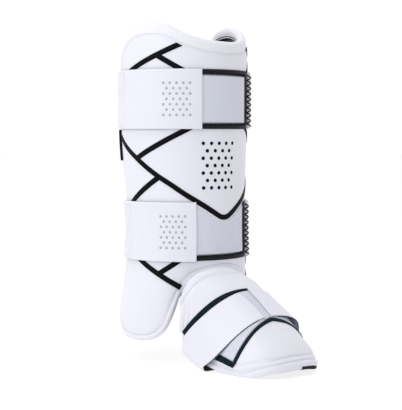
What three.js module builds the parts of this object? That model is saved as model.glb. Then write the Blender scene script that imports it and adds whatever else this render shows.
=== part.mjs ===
// A batter's leg guard in the shape that it has when it is worn: a padded shin shell with an ankle flap,
// two calf straps whose tabs grip loop panels on the shell, and a padded foot guard on its own strap.
// Lengths are millimetres. Heights count up from the ground under the shoe. Angles go round the leg from
// the front of the shin, positive towards +X, in degrees. The toe points along -Y.
import * as THREE from "three";

// Driving dimensions
const GUARD_HEIGHT = 362; // ground to the top of the shell's side lobes
const SHIN_WIDTH = 140; // across the shell, outside
const SHIN_DEPTH = 133; // front to back of the round that the shell follows
const SHELL_WALL = 9; // foam and cover
const CUFF_HEIGHT = 12.5; // rolled collar along the shell's top edge
const CUFF_WALL = 9.6;
const SHELL_REAR_INNER_SIDE = -127; // where the shell ends behind the leg, on the ankle flap's side
const SHELL_REAR_OUTER_SIDE = 115;
const LINING_WALL = 1.5;
const LINING_GAP = 0.8;
const LINING_BORDER = 9; // how far the lining stays inside the shell's edges
const GAP = 0.5; // between pieces that lie on each other
const FILM = 0.6; // black welded trim
const FOOT_FILM = 1;
const TRIM_WIDTH = 5.6;
const LOOP_WALL = 1.2; // brushed loop panels
const BINDING_WIDTH = 5.4; // black binding round a loop panel
const STRAP_WALL = 1.6;
const STRAP_WIDTH = 61;
const TAB_MARGIN = 0.75; // the tab is wider than the band by this at each edge
const UPPER_STRAP_DROP = 83.4; // the shell's top down to the middle of the strap
const LOWER_STRAP_LIFT = 40.7; // the shell's lower edge over the instep up to the middle of the strap
const UPPER_TAB_END = -23.2; // angle where the tab's free end lies on the shell
const LOWER_TAB_END = -29.4;
const TAB_JOIN = -118; // the tab's sewn end, over the band's end
const BAND_END = -94;
const BAND_START = 35.5; // sewn end of the band, just past the loop panel
const BAND_WALL = 1.25;
const BAND_FOLD = 3.2; // the band's folded and sewn start is this thick
const BAND_HOLLOW = 8; // how far the bands follow the calf inwards behind the leg
const PANEL_LEFT = -60;
const PANEL_RIGHT = 34.5;
const LATTICE_SLOPE = 0.53; // rise of a trim line for each millimetre round the shin
const CHEVRON_MARGIN = 4; // degrees between the big V's end and the shell's rear edge
const REAR_LINE_INSET = 3.4; // degrees between the rear line and the shell's rear edge
const REAR_LINE_LENGTH = 33.4; // from the upper tab down
const ANKLE_LINE_MARGIN = 10.5; // from the shell's lower edge up to the end of the ankle line

const FOOT_WIDTH = 108; // across the foot guard, outside
const FOOT_REACH = 183; // leg's axis to the front of the toe
const INSTEP_HEIGHT = 99.5; // top edge of the foot guard above the ground
const FOOT_WALL = 7;
const FOOT_LAP = 0.7; // the foot guard's top edge above the shell's lower edge
const FOOT_STRAP_ENDS = [0.6, -8.4]; // where the strap's ends lie across the foot, bare loop panel between
const STRAP_LOOSE = 5; // how far the strap stands off the foot guard's outer side
const STRAP_FLOOR = 1.9; // the strap's upper face under the shoe, above the ground
const STRAP_TUCK = 4.4; // how far the strap drops below the foot guard's side where it turns under the shoe
const STRAP_REAR_TUCK = 17; // the same at the strap's rear edge, which hangs lower
const JOIN_LAP = 26; // how far the hidden tab behind the instep runs up inside the shell

const ANKLE_HEIGHT = INSTEP_HEIGHT - FOOT_LAP; // ground to the shell's lower edge over the instep
const TAB_WIDTH = STRAP_WIDTH + 2 * TAB_MARGIN;
const UPPER_STRAP_HEIGHT = GUARD_HEIGHT - UPPER_STRAP_DROP;
const LOWER_STRAP_HEIGHT = ANKLE_HEIGHT + LOWER_STRAP_LIFT;

// The leg sits in the middle of the two calf straps, and that is the guard's own origin.
const LEG_HOLD = (UPPER_STRAP_HEIGHT + LOWER_STRAP_HEIGHT) / 2;

// Layers over a padded surface, as distances out from it
const FIRST_LAYER = GAP;
const SECOND_LAYER = 2 * GAP + LOOP_WALL;
const FOOT_STRAP_LAYER = 3 * GAP + FOOT_FILM;

const MATERIALS = {
  cover: new THREE.MeshStandardMaterial({ color: 0xe9eaf0, roughness: 0.55, metalness: 0 }),
  cuff: new THREE.MeshStandardMaterial({ color: 0xe2e3e8, roughness: 0.7, metalness: 0 }),
  lining: new THREE.MeshStandardMaterial({ color: 0x17181c, roughness: 0.95, metalness: 0 }),
  trim: new THREE.MeshStandardMaterial({ color: 0x14151c, roughness: 0.45, metalness: 0 }),
  loop: new THREE.MeshStandardMaterial({ color: 0xced2e0, roughness: 1, metalness: 0 }),
  elastic: new THREE.MeshStandardMaterial({ color: 0xe8e9ee, roughness: 0.9, metalness: 0 }),
  tab: new THREE.MeshStandardMaterial({ color: 0xeff0f8, roughness: 0.6, metalness: 0 }),
};

// Sections of the round that the shell follows. Heights are shares of GUARD_HEIGHT, widths of SHIN_WIDTH,
// and depths and forward shifts of SHIN_DEPTH.
const SHIN_SECTIONS = [
  { height: 0.0, width: 0.965, depth: 0.98, forward: 0.0 },
  { height: 0.06, width: 0.975, depth: 0.985, forward: 0.0 },
  { height: 0.17, width: 0.98, depth: 0.975, forward: 0.006 },
  { height: 0.27, width: 0.955, depth: 0.955, forward: 0.02 },
  { height: 0.38, width: 0.925, depth: 0.93, forward: 0.03 },
  { height: 0.48, width: 0.94, depth: 0.945, forward: 0.02 },
  { height: 0.58, width: 0.972, depth: 0.975, forward: 0.004 },
  { height: 0.67, width: 0.995, depth: 1.0, forward: 0.0 },
  { height: 0.88, width: 1.0, depth: 1.0, forward: 0.0 },
  { height: 0.94, width: 0.985, depth: 0.985, forward: 0.0 },
  { height: 0.975, width: 0.95, depth: 0.955, forward: 0.0 },
  { height: 1.0, width: 0.905, depth: 0.915, forward: 0.0 },
];

// The shell's outline, by angle. Heights of the top are shares of GUARD_HEIGHT, and of the bottom shares
// of ANKLE_HEIGHT.
const TOP_EDGE = [
  { angle: -127, height: 0.872 },
  { angle: -121, height: 0.91 },
  { angle: -110, height: 0.95 },
  { angle: -95, height: 0.98 },
  { angle: -80, height: 0.993 },
  { angle: -66, height: 0.994 },
  { angle: -52, height: 0.984 },
  { angle: -36, height: 0.96 },
  { angle: -18, height: 0.944 },
  { angle: 5, height: 0.939 },
  { angle: 20, height: 0.942 },
  { angle: 40, height: 0.957 },
  { angle: 62, height: 0.986 },
  { angle: 80, height: 0.999 },
  { angle: 93, height: 0.997 },
  { angle: 104, height: 0.966 },
  { angle: 115, height: 0.895 },
];
const BOTTOM_EDGE = [
  { angle: -127, height: 0.447 },
  { angle: -119, height: 0.348 },
  { angle: -108, height: 0.271 },
  { angle: -95, height: 0.234 },
  { angle: -80, height: 0.227 },
  { angle: -68, height: 0.256 },
  { angle: -57, height: 0.348 },
  { angle: -49, height: 0.513 },
  { angle: -44, height: 0.678 },
  { angle: -36, height: 0.854 },
  { angle: -24, height: 0.953 },
  { angle: 0, height: 1.000 },
  { angle: 22, height: 0.945 },
  { angle: 40, height: 0.813 },
  { angle: 60, height: 0.733 },
  { angle: 90, height: 0.733 },
  { angle: 105, height: 0.813 },
  { angle: 115, height: 0.953 },
];

// The middle of the big V across the shin, by angle to either side of the front. Heights are shares of
// the way from the lower tab's upper edge to the upper tab's lower edge.
const CHEVRON = [
  { angle: -4, height: -0.209 },
  { angle: 0, height: -0.218 },
  { angle: 4, height: -0.209 },
  { angle: 10, height: -0.159 },
  { angle: 20, height: -0.065 },
  { angle: 37, height: 0.089 },
  { angle: 53, height: 0.252 },
  { angle: 65, height: 0.368 },
  { angle: 76, height: 0.483 },
  { angle: 86, height: 0.590 },
  { angle: 99, height: 0.717 },
  { angle: 114, height: 0.866 },
  { angle: 127, height: 0.984 },
];

// Arches of the foot guard from its top edge to the toe. Each one spans the foot between two low points
// and a top point. Reaches are shares of the way from the front of the shin's round to FOOT_REACH, heights
// are shares of INSTEP_HEIGHT, and widths and the sway of their middle to the side of FOOT_WIDTH.
const FOOT_ARCHES = [
  { lowReach: -0.147, lowHeight: 0.5, topReach: 0.064, topHeight: 1.0, width: 0.92, sway: -0.125, round: 2.9 },
  { lowReach: -0.107, lowHeight: 0.42, topReach: 0.202, topHeight: 0.915, width: 0.97, sway: -0.06, round: 2.5 },
  { lowReach: -0.021, lowHeight: 0.3, topReach: 0.331, topHeight: 0.812, width: 0.98, sway: -0.02, round: 2.15 },
  { lowReach: 0.089, lowHeight: 0.18, topReach: 0.467, topHeight: 0.683, width: 0.99, sway: 0, round: 2.1 },
  { lowReach: 0.230, lowHeight: 0.07, topReach: 0.606, topHeight: 0.548, width: 0.985, sway: 0, round: 2.15 },
  { lowReach: 0.387, lowHeight: 0.03, topReach: 0.717, topHeight: 0.43, width: 0.96, sway: 0, round: 2.3 },
  { lowReach: 0.513, lowHeight: 0.02, topReach: 0.827, topHeight: 0.312, width: 0.93, sway: 0, round: 2.3 },
  { lowReach: 0.599, lowHeight: 0.012, topReach: 0.901, topHeight: 0.21, width: 0.88, sway: 0, round: 2.3 },
  { lowReach: 0.642, lowHeight: 0.006, topReach: 0.950, topHeight: 0.155, width: 0.84, sway: 0, round: 2.3 },
  { lowReach: 0.662, lowHeight: 0.003, topReach: 0.984, topHeight: 0.11, width: 0.8, sway: 0, round: 2.2 },
];
const TOE_ARCH = FOOT_ARCHES.length - 1;
const ARCH_LEAN = 1.4; // above 1 the sides of an arch stay forward before they fall back
const FOOT_LINE = 0.22; // width of a black line on the foot guard, in arches
const FOOT_SEAM = 0.03; // between pieces that lie side by side on the foot guard, in arches

// The arches where the foot guard's lines run, by distance to the side: the black line on the ankle's side
// of the strap, the strap's front edge and the black border of the toe cap.
const FOOT_LINES = [
  { side: 0, ankle: 1.97, strap: 3.98, toeCap: 4.09 },
  { side: 0.3, ankle: 1.91, strap: 4.05, toeCap: 4.44 },
  { side: 0.6, ankle: 1.83, strap: 4.18, toeCap: 5.0 },
  { side: 0.8, ankle: 1.8, strap: 4.35, toeCap: 5.47 },
  { side: 0.9, ankle: 1.81, strap: 4.4, toeCap: 5.72 },
  { side: 1, ankle: 1.85, strap: 4.3, toeCap: 5.95 },
];

const radians = THREE.MathUtils.degToRad;

// The value of a column where the key column has the value at, on a smooth curve through the rows.
function smooth(rows, key, column, at) {
  const last = rows.length - 1;
  let i = rows.findIndex((row) => row[key] > at) - 1;
  if (i === -2) i = last - 1;
  i = Math.max(0, Math.min(last - 1, i));
  const slopeAt = (k) => {
    const before = rows[Math.max(0, k - 1)];
    const after = rows[Math.min(last, k + 1)];
    return (after[column] - before[column]) / (after[key] - before[key]);
  };
  const [from, to] = [rows[i], rows[i + 1]];
  const span = to[key] - from[key];
  const t = THREE.MathUtils.clamp((at - from[key]) / span, 0, 1);
  const t2 = t * t;
  const t3 = t2 * t;
  return (
    (2 * t3 - 3 * t2 + 1) * from[column] +
    (t3 - 2 * t2 + t) * span * slopeAt(i) +
    (3 * t2 - 2 * t3) * to[column] +
    (t3 - t2) * span * slopeAt(i + 1)
  );
}

// The point of a surface moved out from it by a distance. surface(a, b) gives its points, and the
// cross product of its two directions points outwards.
function movedOut(surface, a, b, distance, stepA, stepB) {
  const alongA = surface(a + stepA, b).sub(surface(a - stepA, b));
  const alongB = surface(a, b + stepB).sub(surface(a, b - stepB));
  return surface(a, b).addScaledVector(alongA.cross(alongB).normalize(), distance);
}

// The outside of the shin's round, at an angle and a height.
function shinSurface(angle, height) {
  const share = height / GUARD_HEIGHT;
  const width = (SHIN_WIDTH / 2) * smooth(SHIN_SECTIONS, "height", "width", share);
  const depth = (SHIN_DEPTH / 2) * smooth(SHIN_SECTIONS, "height", "depth", share);
  const forward = SHIN_DEPTH * smooth(SHIN_SECTIONS, "height", "forward", share);
  const turn = radians(angle);
  return new THREE.Vector3(width * Math.sin(turn), -forward - depth * Math.cos(turn), height);
}

const onShin = (angle, height, out) => movedOut(shinSurface, angle, height, out, 0.5, 0.5);

const topEdge = (angle) => GUARD_HEIGHT * smooth(TOP_EDGE, "angle", "height", angle);
const bottomEdge = (angle) => ANKLE_HEIGHT * smooth(BOTTOM_EDGE, "angle", "height", angle);
const cuffSeam = (angle) => topEdge(angle) - CUFF_HEIGHT;

// The outside of the foot guard, at an arch (0 is its top edge) and a side (-1 and 1 are its low points).
function footSurface(arch, side) {
  const rows = FOOT_ARCHES.map((row, number) => ({ ...row, number }));
  const at = (column) => smooth(rows, "number", column, arch);
  const power = 2 / at("round");
  const turn = (side * Math.PI) / 2;
  const across = Math.sign(turn) * Math.abs(Math.sin(turn)) ** power;
  const rise = Math.abs(Math.cos(turn)) ** power;
  const reach = THREE.MathUtils.lerp(at("lowReach"), at("topReach"), 1 - (1 - rise) ** ARCH_LEAN);
  const height = THREE.MathUtils.lerp(at("lowHeight"), at("topHeight"), rise);
  return new THREE.Vector3(
    (FOOT_WIDTH / 2) * at("width") * across + FOOT_WIDTH * at("sway"),
    -THREE.MathUtils.lerp(SHIN_DEPTH / 2, FOOT_REACH, reach),
    INSTEP_HEIGHT * height,
  );
}

function onFoot(arch, side, out) {
  const a = THREE.MathUtils.clamp(arch, 0.05, TOE_ARCH - 0.05);
  const s = THREE.MathUtils.clamp(side, -0.97, 0.97);
  const foot = (across, along) => footSurface(-along, across);
  const normalPoint = movedOut(foot, s, -a, 1, 0.01, 0.02);
  const normal = normalPoint.sub(footSurface(a, s));
  return footSurface(arch, side).addScaledVector(normal, out);
}

// Evenly spaced values from low to high, with two more close to each end for a rounded edge.
function spread(low, high, count, edge = 0) {
  const inner = Array.from({ length: count + 1 }, (_, i) =>
    THREE.MathUtils.lerp(low + 0.6 * edge, high - 0.6 * edge, i / count),
  );
  return edge ? [low, low + 0.2 * edge, ...inner, high - 0.2 * edge, high] : inner;
}

// A closed wall between two grids of points with the same rows and columns.
function wallBetween(outside, inside, ring = false) {
  const columns = outside.length;
  const rows = outside[0].length;
  const positions = [...outside.flat(), ...inside.flat()].flatMap((p) => [p.x, p.y, p.z]);
  const index = [];
  const outer = (i, j) => (i % columns) * rows + j;
  const inner = (i, j) => columns * rows + outer(i, j);
  const quad = (a, b, c, d) => index.push(a, b, c, a, c, d);
  const spans = ring ? columns : columns - 1;
  for (let i = 0; i < spans; i++) {
    for (let j = 0; j < rows - 1; j++) {
      quad(outer(i, j), outer(i + 1, j), outer(i + 1, j + 1), outer(i, j + 1));
      quad(inner(i, j), inner(i, j + 1), inner(i + 1, j + 1), inner(i + 1, j));
    }
    quad(inner(i, 0), inner(i + 1, 0), outer(i + 1, 0), outer(i, 0));
    quad(outer(i, rows - 1), outer(i + 1, rows - 1), inner(i + 1, rows - 1), inner(i, rows - 1));
  }
  for (let j = 0; !ring && j < rows - 1; j++) {
    quad(outer(0, j), outer(0, j + 1), inner(0, j + 1), inner(0, j));
    quad(inner(spans, j), inner(spans, j + 1), outer(spans, j + 1), outer(spans, j));
  }
  const geometry = new THREE.BufferGeometry();
  geometry.setAttribute("position", new THREE.Float32BufferAttribute(positions, 3));
  geometry.setIndex(index);
  return geometry;
}

// How far a padded edge is drawn in at the first two grid lines, as a share of the wall.
const EDGE_ROUND = [0.34, 0.1];

function drawnIn(number, count) {
  return EDGE_ROUND[Math.min(number, count - 1 - number)] ?? 0;
}

// A padded wall with rounded edges. rowsAt(a) gives the values of b for a column, and place(a, b, out)
// the point out from the outside surface.
function paddedWall(columns, rowsAt, place, wall) {
  const grid = (depthOf) =>
    columns.map((a, i) => {
      const rows = rowsAt(a);
      return rows.map((b, j) => {
        const round = Math.max(drawnIn(i, columns.length), drawnIn(j, rows.length));
        return place(a, b, -wall * depthOf(round));
      });
    });
  return wallBetween(
    grid((round) => round),
    grid((round) => 1 - round),
  );
}

// A flat-edged sheet of even thickness, from low to low + thick above the surface.
function sheet(columns, rowsAt, place, low, thick) {
  const grid = (out) => columns.map((a) => rowsAt(a).map((b) => place(a, b, out)));
  return wallBetween(grid(low + thick), grid(low));
}

const guard = new THREE.Group();
guard.name = "leg_guard";
guard.position.z = -LEG_HOLD;

function add(name, geometry, material) {
  const mesh = new THREE.Mesh(geometry, material);
  mesh.name = name;
  guard.add(mesh);
}

// Shin shell, its rolled cuff and its lining
function buildShell() {
  const degreesOf = (length) => (length / (SHIN_WIDTH / 2)) * (180 / Math.PI);
  const ends = [SHELL_REAR_INNER_SIDE, SHELL_REAR_OUTER_SIDE];
  const columns = spread(...ends, 34, degreesOf(SHELL_WALL));
  const shellRows = (angle) => spread(bottomEdge(angle), cuffSeam(angle) - GAP, 16, SHELL_WALL);
  add("shin_shell", paddedWall(columns, shellRows, onShin, SHELL_WALL), MATERIALS.cover);

  const cuffRows = (angle) => spread(cuffSeam(angle), topEdge(angle), 1, CUFF_HEIGHT / 1.6);
  const proud = (CUFF_WALL - SHELL_WALL) / 2;
  const onCuff = (angle, height, out) => onShin(angle, height, proud + out);
  add("top_cuff", paddedWall(columns, cuffRows, onCuff, CUFF_WALL), MATERIALS.cuff);

  const border = degreesOf(LINING_BORDER);
  const liningColumns = spread(ends[0] + border, ends[1] - border, 22);
  const liningRows = (angle) =>
    spread(bottomEdge(angle) + LINING_BORDER, cuffSeam(angle) - LINING_BORDER / 2, 10);
  const depth = -(SHELL_WALL + LINING_GAP + LINING_WALL);
  add("shin_lining", sheet(liningColumns, liningRows, onShin, depth, LINING_WALL), MATERIALS.lining);
}

// Flat stripes laid on the shin. Their paths are drawn on the unrolled shin, where a millimetre round
// the shin is worth this many degrees.
const DEGREES_PER_MM = 360 / (Math.PI * ((SHIN_WIDTH + SHIN_DEPTH) / 2) * 0.965);
const unrolled = (angle, height) => new THREE.Vector2(angle / DEGREES_PER_MM, height);

// A stripe between two edges with the same number of points on the unrolled shin.
function shinStripe(edges, low, thick, ring = false) {
  const grid = (out) =>
    edges[0].map((_, i) => edges.map((edge) => onShin(edge[i].x * DEGREES_PER_MM, edge[i].y, out)));
  return wallBetween(grid(low + thick), grid(low), ring);
}

// The two edges and the middle of a straight stripe. Each end is cut along its own direction.
function straightEdges(from, to, width, cutFrom, cutTo, step = 6) {
  const along = to.clone().sub(from).normalize();
  const across = new THREE.Vector2(-along.y, along.x);
  const steps = Math.max(2, Math.round(from.distanceTo(to) / step));
  const shift = (cut) => (cut ? THREE.MathUtils.clamp(cut.dot(along) / cut.dot(across), -3, 3) : 0);
  return [-width / 2, 0, width / 2].map((offset) => {
    const corner = (point, cut) =>
      point.clone().addScaledVector(across, offset).addScaledVector(along, offset * shift(cut));
    const [start, end] = [corner(from, cutFrom), corner(to, cutTo)];
    return Array.from({ length: steps + 1 }, (_, i) => start.clone().lerp(end, i / steps));
  });
}

// The two edges of a stripe along a row of points on the unrolled shin.
function edgesAlong(points, width) {
  return [-width / 2, width / 2].map((offset) =>
    points.map((point, i) => {
      const [before, after] = [points[Math.max(0, i - 1)], points[Math.min(points.length - 1, i + 1)]];
      const along = after.clone().sub(before).normalize();
      return new THREE.Vector2(-along.y, along.x).multiplyScalar(offset).add(point);
    }),
  );
}

const sloping = (slope) => new THREE.Vector2(1, slope);
const LEVEL = sloping(0);

// From the middle of a sloping line to where the next piece may start, measured upwards
const clearanceAt = (slope) => (TRIM_WIDTH / 2 + 2.5 * GAP) * Math.hypot(1, slope);

const chevronHeight = (angle) =>
  THREE.MathUtils.lerp(
    LOWER_STRAP_HEIGHT + TAB_WIDTH / 2,
    UPPER_STRAP_HEIGHT - TAB_WIDTH / 2,
    smooth(CHEVRON, "angle", "height", Math.abs(angle)),
  );

// The big V's rise for each millimetre round the shin
const chevronSlope = (angle) => ((chevronHeight(angle + 1) - chevronHeight(angle - 1)) / 2) * DEGREES_PER_MM;

// Black trim lines: a big V across the shin and shorter lines that branch off it and cross above and
// below. All but the one at the shell's rear edge are the same on both sides of the shin.
function buildTrim() {
  const point = [2.5, 5, 8, 12, 18];
  const rearLine = TRIM_WIDTH * (1 + LATTICE_SLOPE / 2) + 2 * GAP;
  const farEnd = SHELL_REAR_INNER_SIDE + REAR_LINE_INSET + rearLine * DEGREES_PER_MM;
  const leftWing = [...spread(farEnd, -26, 10), ...point.map((angle) => -angle).reverse()];
  const angles = [...leftWing, 0, ...point, ...spread(26, SHELL_REAR_OUTER_SIDE - CHEVRON_MARGIN, 9)];
  const middle = angles.map((angle) => unrolled(angle, chevronHeight(angle)));
  add("trim_chevron", shinStripe(edgesAlong(middle, TRIM_WIDTH), FIRST_LAYER, FILM), MATERIALS.trim);

  const beside = (point, slope, way) => new THREE.Vector2(point.x, point.y + way * clearanceAt(slope));
  const between = ([from, to], share) => from.clone().lerp(to, share);
  const onChevron = (angle) => unrolled(angle, chevronHeight(angle));
  const overTab = (angle, middleHeight) => unrolled(angle, middleHeight + TAB_WIDTH / 2 + 2 * GAP);
  const underTab = (angle, middleHeight) => unrolled(angle, middleHeight - TAB_WIDTH / 2 - 2 * GAP);
  const top = [overTab(-89.5, UPPER_STRAP_HEIGHT), unrolled(-42.6, cuffSeam(-42.6) - TRIM_WIDTH / 2 - GAP)];
  const ankle = [underTab(-84, LOWER_STRAP_HEIGHT), unrolled(-42.6, bottomEdge(-42.6) + ANKLE_LINE_MARGIN)];
  const slopeOf = ([from, to]) => (to.y - from.y) / (to.x - from.x);
  const [topSlope, ankleSlope] = [slopeOf(top), slopeOf(ankle)];
  const [upperFork, lowerFork] = [-84.5, -64.5];
  const branches = {
    top: [beside(between(top, 0.6), topSlope, -1), overTab(-43.4, UPPER_STRAP_HEIGHT)],
    upper: [beside(onChevron(upperFork), chevronSlope(upperFork), 1), underTab(-37.3, UPPER_STRAP_HEIGHT)],
    lower: [overTab(-97, LOWER_STRAP_HEIGHT), beside(onChevron(lowerFork), chevronSlope(lowerFork), -1)],
    ankle: [beside(between(ankle, 0.52), ankleSlope, 1), underTab(-47.8, LOWER_STRAP_HEIGHT)],
  };
  const lines = {
    top_long: [...top, LEVEL, sloping(-LATTICE_SLOPE)],
    top_branch: [...branches.top, sloping(topSlope), LEVEL],
    upper_arm: [...branches.upper, sloping(chevronSlope(upperFork)), LEVEL],
    lower_arm: [...branches.lower, LEVEL, sloping(chevronSlope(lowerFork))],
    ankle_long: [...ankle, LEVEL, null],
    ankle_branch: [...branches.ankle, sloping(ankleSlope), LEVEL],
  };
  const mirrored = (edge) => edge.map((p) => new THREE.Vector2(-p.x, p.y)).reverse();
  for (const [name, [from, to, cutFrom, cutTo]] of Object.entries(lines)) {
    const edges = straightEdges(from, to, TRIM_WIDTH, cutFrom, cutTo);
    add(`trim_${name}_left`, shinStripe(edges, FIRST_LAYER, FILM), MATERIALS.trim);
    add(`trim_${name}_right`, shinStripe(edges.map(mirrored), FIRST_LAYER, FILM), MATERIALS.trim);
  }
  const rear = SHELL_REAR_INNER_SIDE + REAR_LINE_INSET + (TRIM_WIDTH / 2) * DEGREES_PER_MM;
  const rearTop = underTab(rear, UPPER_STRAP_HEIGHT);
  const rearFoot = unrolled(rear, rearTop.y - REAR_LINE_LENGTH);
  const rearEdges = straightEdges(rearFoot, rearTop, TRIM_WIDTH, LEVEL, LEVEL);
  add("trim_rear_edge", shinStripe(rearEdges, FIRST_LAYER, FILM), MATERIALS.trim);
}

// A loop panel with black binding. The binding lies round the panel on the same layer.
function buildLoopPanels() {
  const half = TAB_WIDTH / 2;
  const [left, right] = [PANEL_LEFT, PANEL_RIGHT];
  const inset = BINDING_WIDTH + GAP;
  const angles = spread(left + inset * DEGREES_PER_MM, right - inset * DEGREES_PER_MM, 13);

  const upper = [UPPER_STRAP_HEIGHT - half, UPPER_STRAP_HEIGHT + half];
  const upperRows = () => spread(upper[0] + inset, upper[1] - inset, 2);
  add("upper_loop_panel", sheet(angles, upperRows, onShin, FIRST_LAYER, LOOP_WALL), MATERIALS.loop);
  const corners = (grow) => {
    const [low, high] = [upper[0] + grow, upper[1] - grow];
    const [west, east] = [left / DEGREES_PER_MM + grow, right / DEGREES_PER_MM - grow];
    const corner = [
      [west, low],
      [east, low],
      [east, high],
      [west, high],
    ].map((p) => new THREE.Vector2(...p));
    const counts = [13, 3, 13, 3];
    return corner.flatMap((p, k) =>
      Array.from({ length: counts[k] }, (_, i) => p.clone().lerp(corner[(k + 1) % 4], i / counts[k])),
    );
  };
  const bound = [corners(0), corners(BINDING_WIDTH)];
  add("upper_panel_binding", shinStripe(bound, FIRST_LAYER, LOOP_WALL, true), MATERIALS.trim);

  // The lower panel is cut along the underside of the big V, and its binding has two sides and a foot.
  const lowFoot = LOWER_STRAP_HEIGHT - STRAP_WIDTH / 2;
  const lowHead = LOWER_STRAP_HEIGHT + STRAP_WIDTH / 2;
  const underV = (angle) => chevronHeight(angle) - clearanceAt(chevronSlope(angle)) - 2 * GAP;
  const lowTop = (angle) => Math.min(lowHead, underV(angle));
  const lowRows = (angle) => spread(lowFoot + inset, lowTop(angle), 4);
  add("lower_loop_panel", sheet(angles, lowRows, onShin, FIRST_LAYER, LOOP_WALL), MATERIALS.loop);
  const bracket = (grow) => {
    const [west, east] = [left / DEGREES_PER_MM + grow, right / DEGREES_PER_MM - grow];
    const low = lowFoot + grow;
    const corner = [
      [west, lowTop(west * DEGREES_PER_MM)],
      [west, low],
      [east, low],
      [east, lowTop(east * DEGREES_PER_MM)],
    ].map((p) => new THREE.Vector2(...p));
    const counts = [3, 13, 3];
    const points = counts.flatMap((count, k) =>
      Array.from({ length: count }, (_, i) => corner[k].clone().lerp(corner[k + 1], i / count)),
    );
    return [...points, corner[3]];
  };
  const trough = [bracket(0), bracket(BINDING_WIDTH)];
  add("lower_panel_binding", shinStripe(trough, FIRST_LAYER, LOOP_WALL), MATERIALS.trim);
}

// A calf strap: an elastic band from its sewn start, round behind the calf, to the tab that it is sewn
// under. Behind the leg the band follows the calf instead of the shell.
function buildCalfStrap(prefix, middle, tabEnd) {
  const start = BAND_START;
  const end = BAND_END + 360;
  const past = 3;
  const rear = [SHELL_REAR_OUTER_SIDE + past, SHELL_REAR_INNER_SIDE + 360 - past];
  const liftAt = (angle) => {
    const t = THREE.MathUtils.clamp((angle - rear[0]) / (rear[1] - rear[0]), 0, 1);
    const step = t * t * (3 - 2 * t);
    return THREE.MathUtils.lerp(SECOND_LAYER, FIRST_LAYER, step) - BAND_HOLLOW * Math.sin(Math.PI * t) ** 2;
  };
  const fold = 4;
  const bandAngles = [start, start + fold, start + 1.5 * fold, ...spread(start + 3 * fold, end, 34)];
  const onBand = (out) => (angle) => {
    const thick = angle <= start + fold ? BAND_FOLD : BAND_WALL;
    return spread(middle - STRAP_WIDTH / 2, middle + STRAP_WIDTH / 2, 2).map((height) =>
      onShin(angle, height, liftAt(angle) + out * thick),
    );
  };
  const band = wallBetween(bandAngles.map(onBand(1)), bandAngles.map(onBand(0)));
  add(`${prefix}_strap_band`, band, MATERIALS.elastic);

  const tabAngles = spread(TAB_JOIN, tabEnd, 15);
  const tabRows = () => spread(middle - TAB_WIDTH / 2, middle + TAB_WIDTH / 2, 2);
  add(`${prefix}_strap_tab`, sheet(tabAngles, tabRows, onShin, SECOND_LAYER, STRAP_WALL), MATERIALS.tab);
}

// The foot guard: a padded dome over the instep and toes with a rim round the toe, and its lining
function buildFootGuard() {
  const sides = spread(-1, 1, 20, (2 * FOOT_WALL) / (1.15 * FOOT_WIDTH));
  const arches = spread(0, TOE_ARCH, 14, 0.4);
  const place = (side, arch, out) => onFoot(TOE_ARCH - arch, side, out);
  add("foot_pad", paddedWall(sides, () => arches, place, FOOT_WALL), MATERIALS.cover);

  const liningSides = spread(-0.93, 0.93, 12);
  const liningArches = spread(1.2, TOE_ARCH - 0.6, 9);
  const depth = -(FOOT_WALL + LINING_GAP + LINING_WALL);
  add("foot_lining", sheet(liningSides, () => liningArches, place, depth, LINING_WALL), MATERIALS.lining);
}

const footLine = (column, side) => smooth(FOOT_LINES, "side", column, Math.abs(side));

// The loop panel on the foot guard, and the black lines behind, before and below it
function buildFootPanel() {
  const reach = 0.8;
  const drop = 0.09;
  const lay = (name, sides, low, high, rowCount, material) => {
    const place = (side, arch, out) => onFoot(-arch, side, out);
    const rows = (side) => spread(-high(side), -low(side), rowCount);
    add(name, sheet(sides, rows, place, FIRST_LAYER, FOOT_FILM), material);
  };
  const ankleLine = (side) => footLine("ankle", side) + FOOT_LINE / 2;
  const toeCap = (side) => footLine("toeCap", side) - FOOT_LINE / 2;
  const before = (side) => ankleLine(side) + FOOT_SEAM;
  const behind = (side) => toeCap(side) - FOOT_SEAM;
  lay("foot_loop_panel", spread(-reach, reach, 20), before, behind, 5, MATERIALS.loop);
  const borderSides = spread(-reach - drop, reach + drop, 26);
  lay("foot_trim_front", borderSides, toeCap, (side) => toeCap(side) + FOOT_LINE, 1, MATERIALS.trim);
  const ankleSides = spread(-0.97, 0, 14);
  lay("foot_trim_rear", ankleSides, (side) => ankleLine(side) - FOOT_LINE, ankleLine, 1, MATERIALS.trim);
  const lowFrom = () => 4.3;
  lay("foot_trim_low_left", spread(-reach - drop, -reach - 0.012, 1), lowFrom, behind, 4, MATERIALS.trim);
  lay("foot_trim_low_right", spread(reach + 0.012, reach + drop, 1), lowFrom, behind, 4, MATERIALS.trim);
}

// The side where the foot guard is so far across from its middle
function sideAt(across) {
  const share = Math.abs(across) / (FOOT_WIDTH / 2);
  return (Math.sign(across) * 2 * Math.asin(share ** 1.05)) / Math.PI;
}

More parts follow.
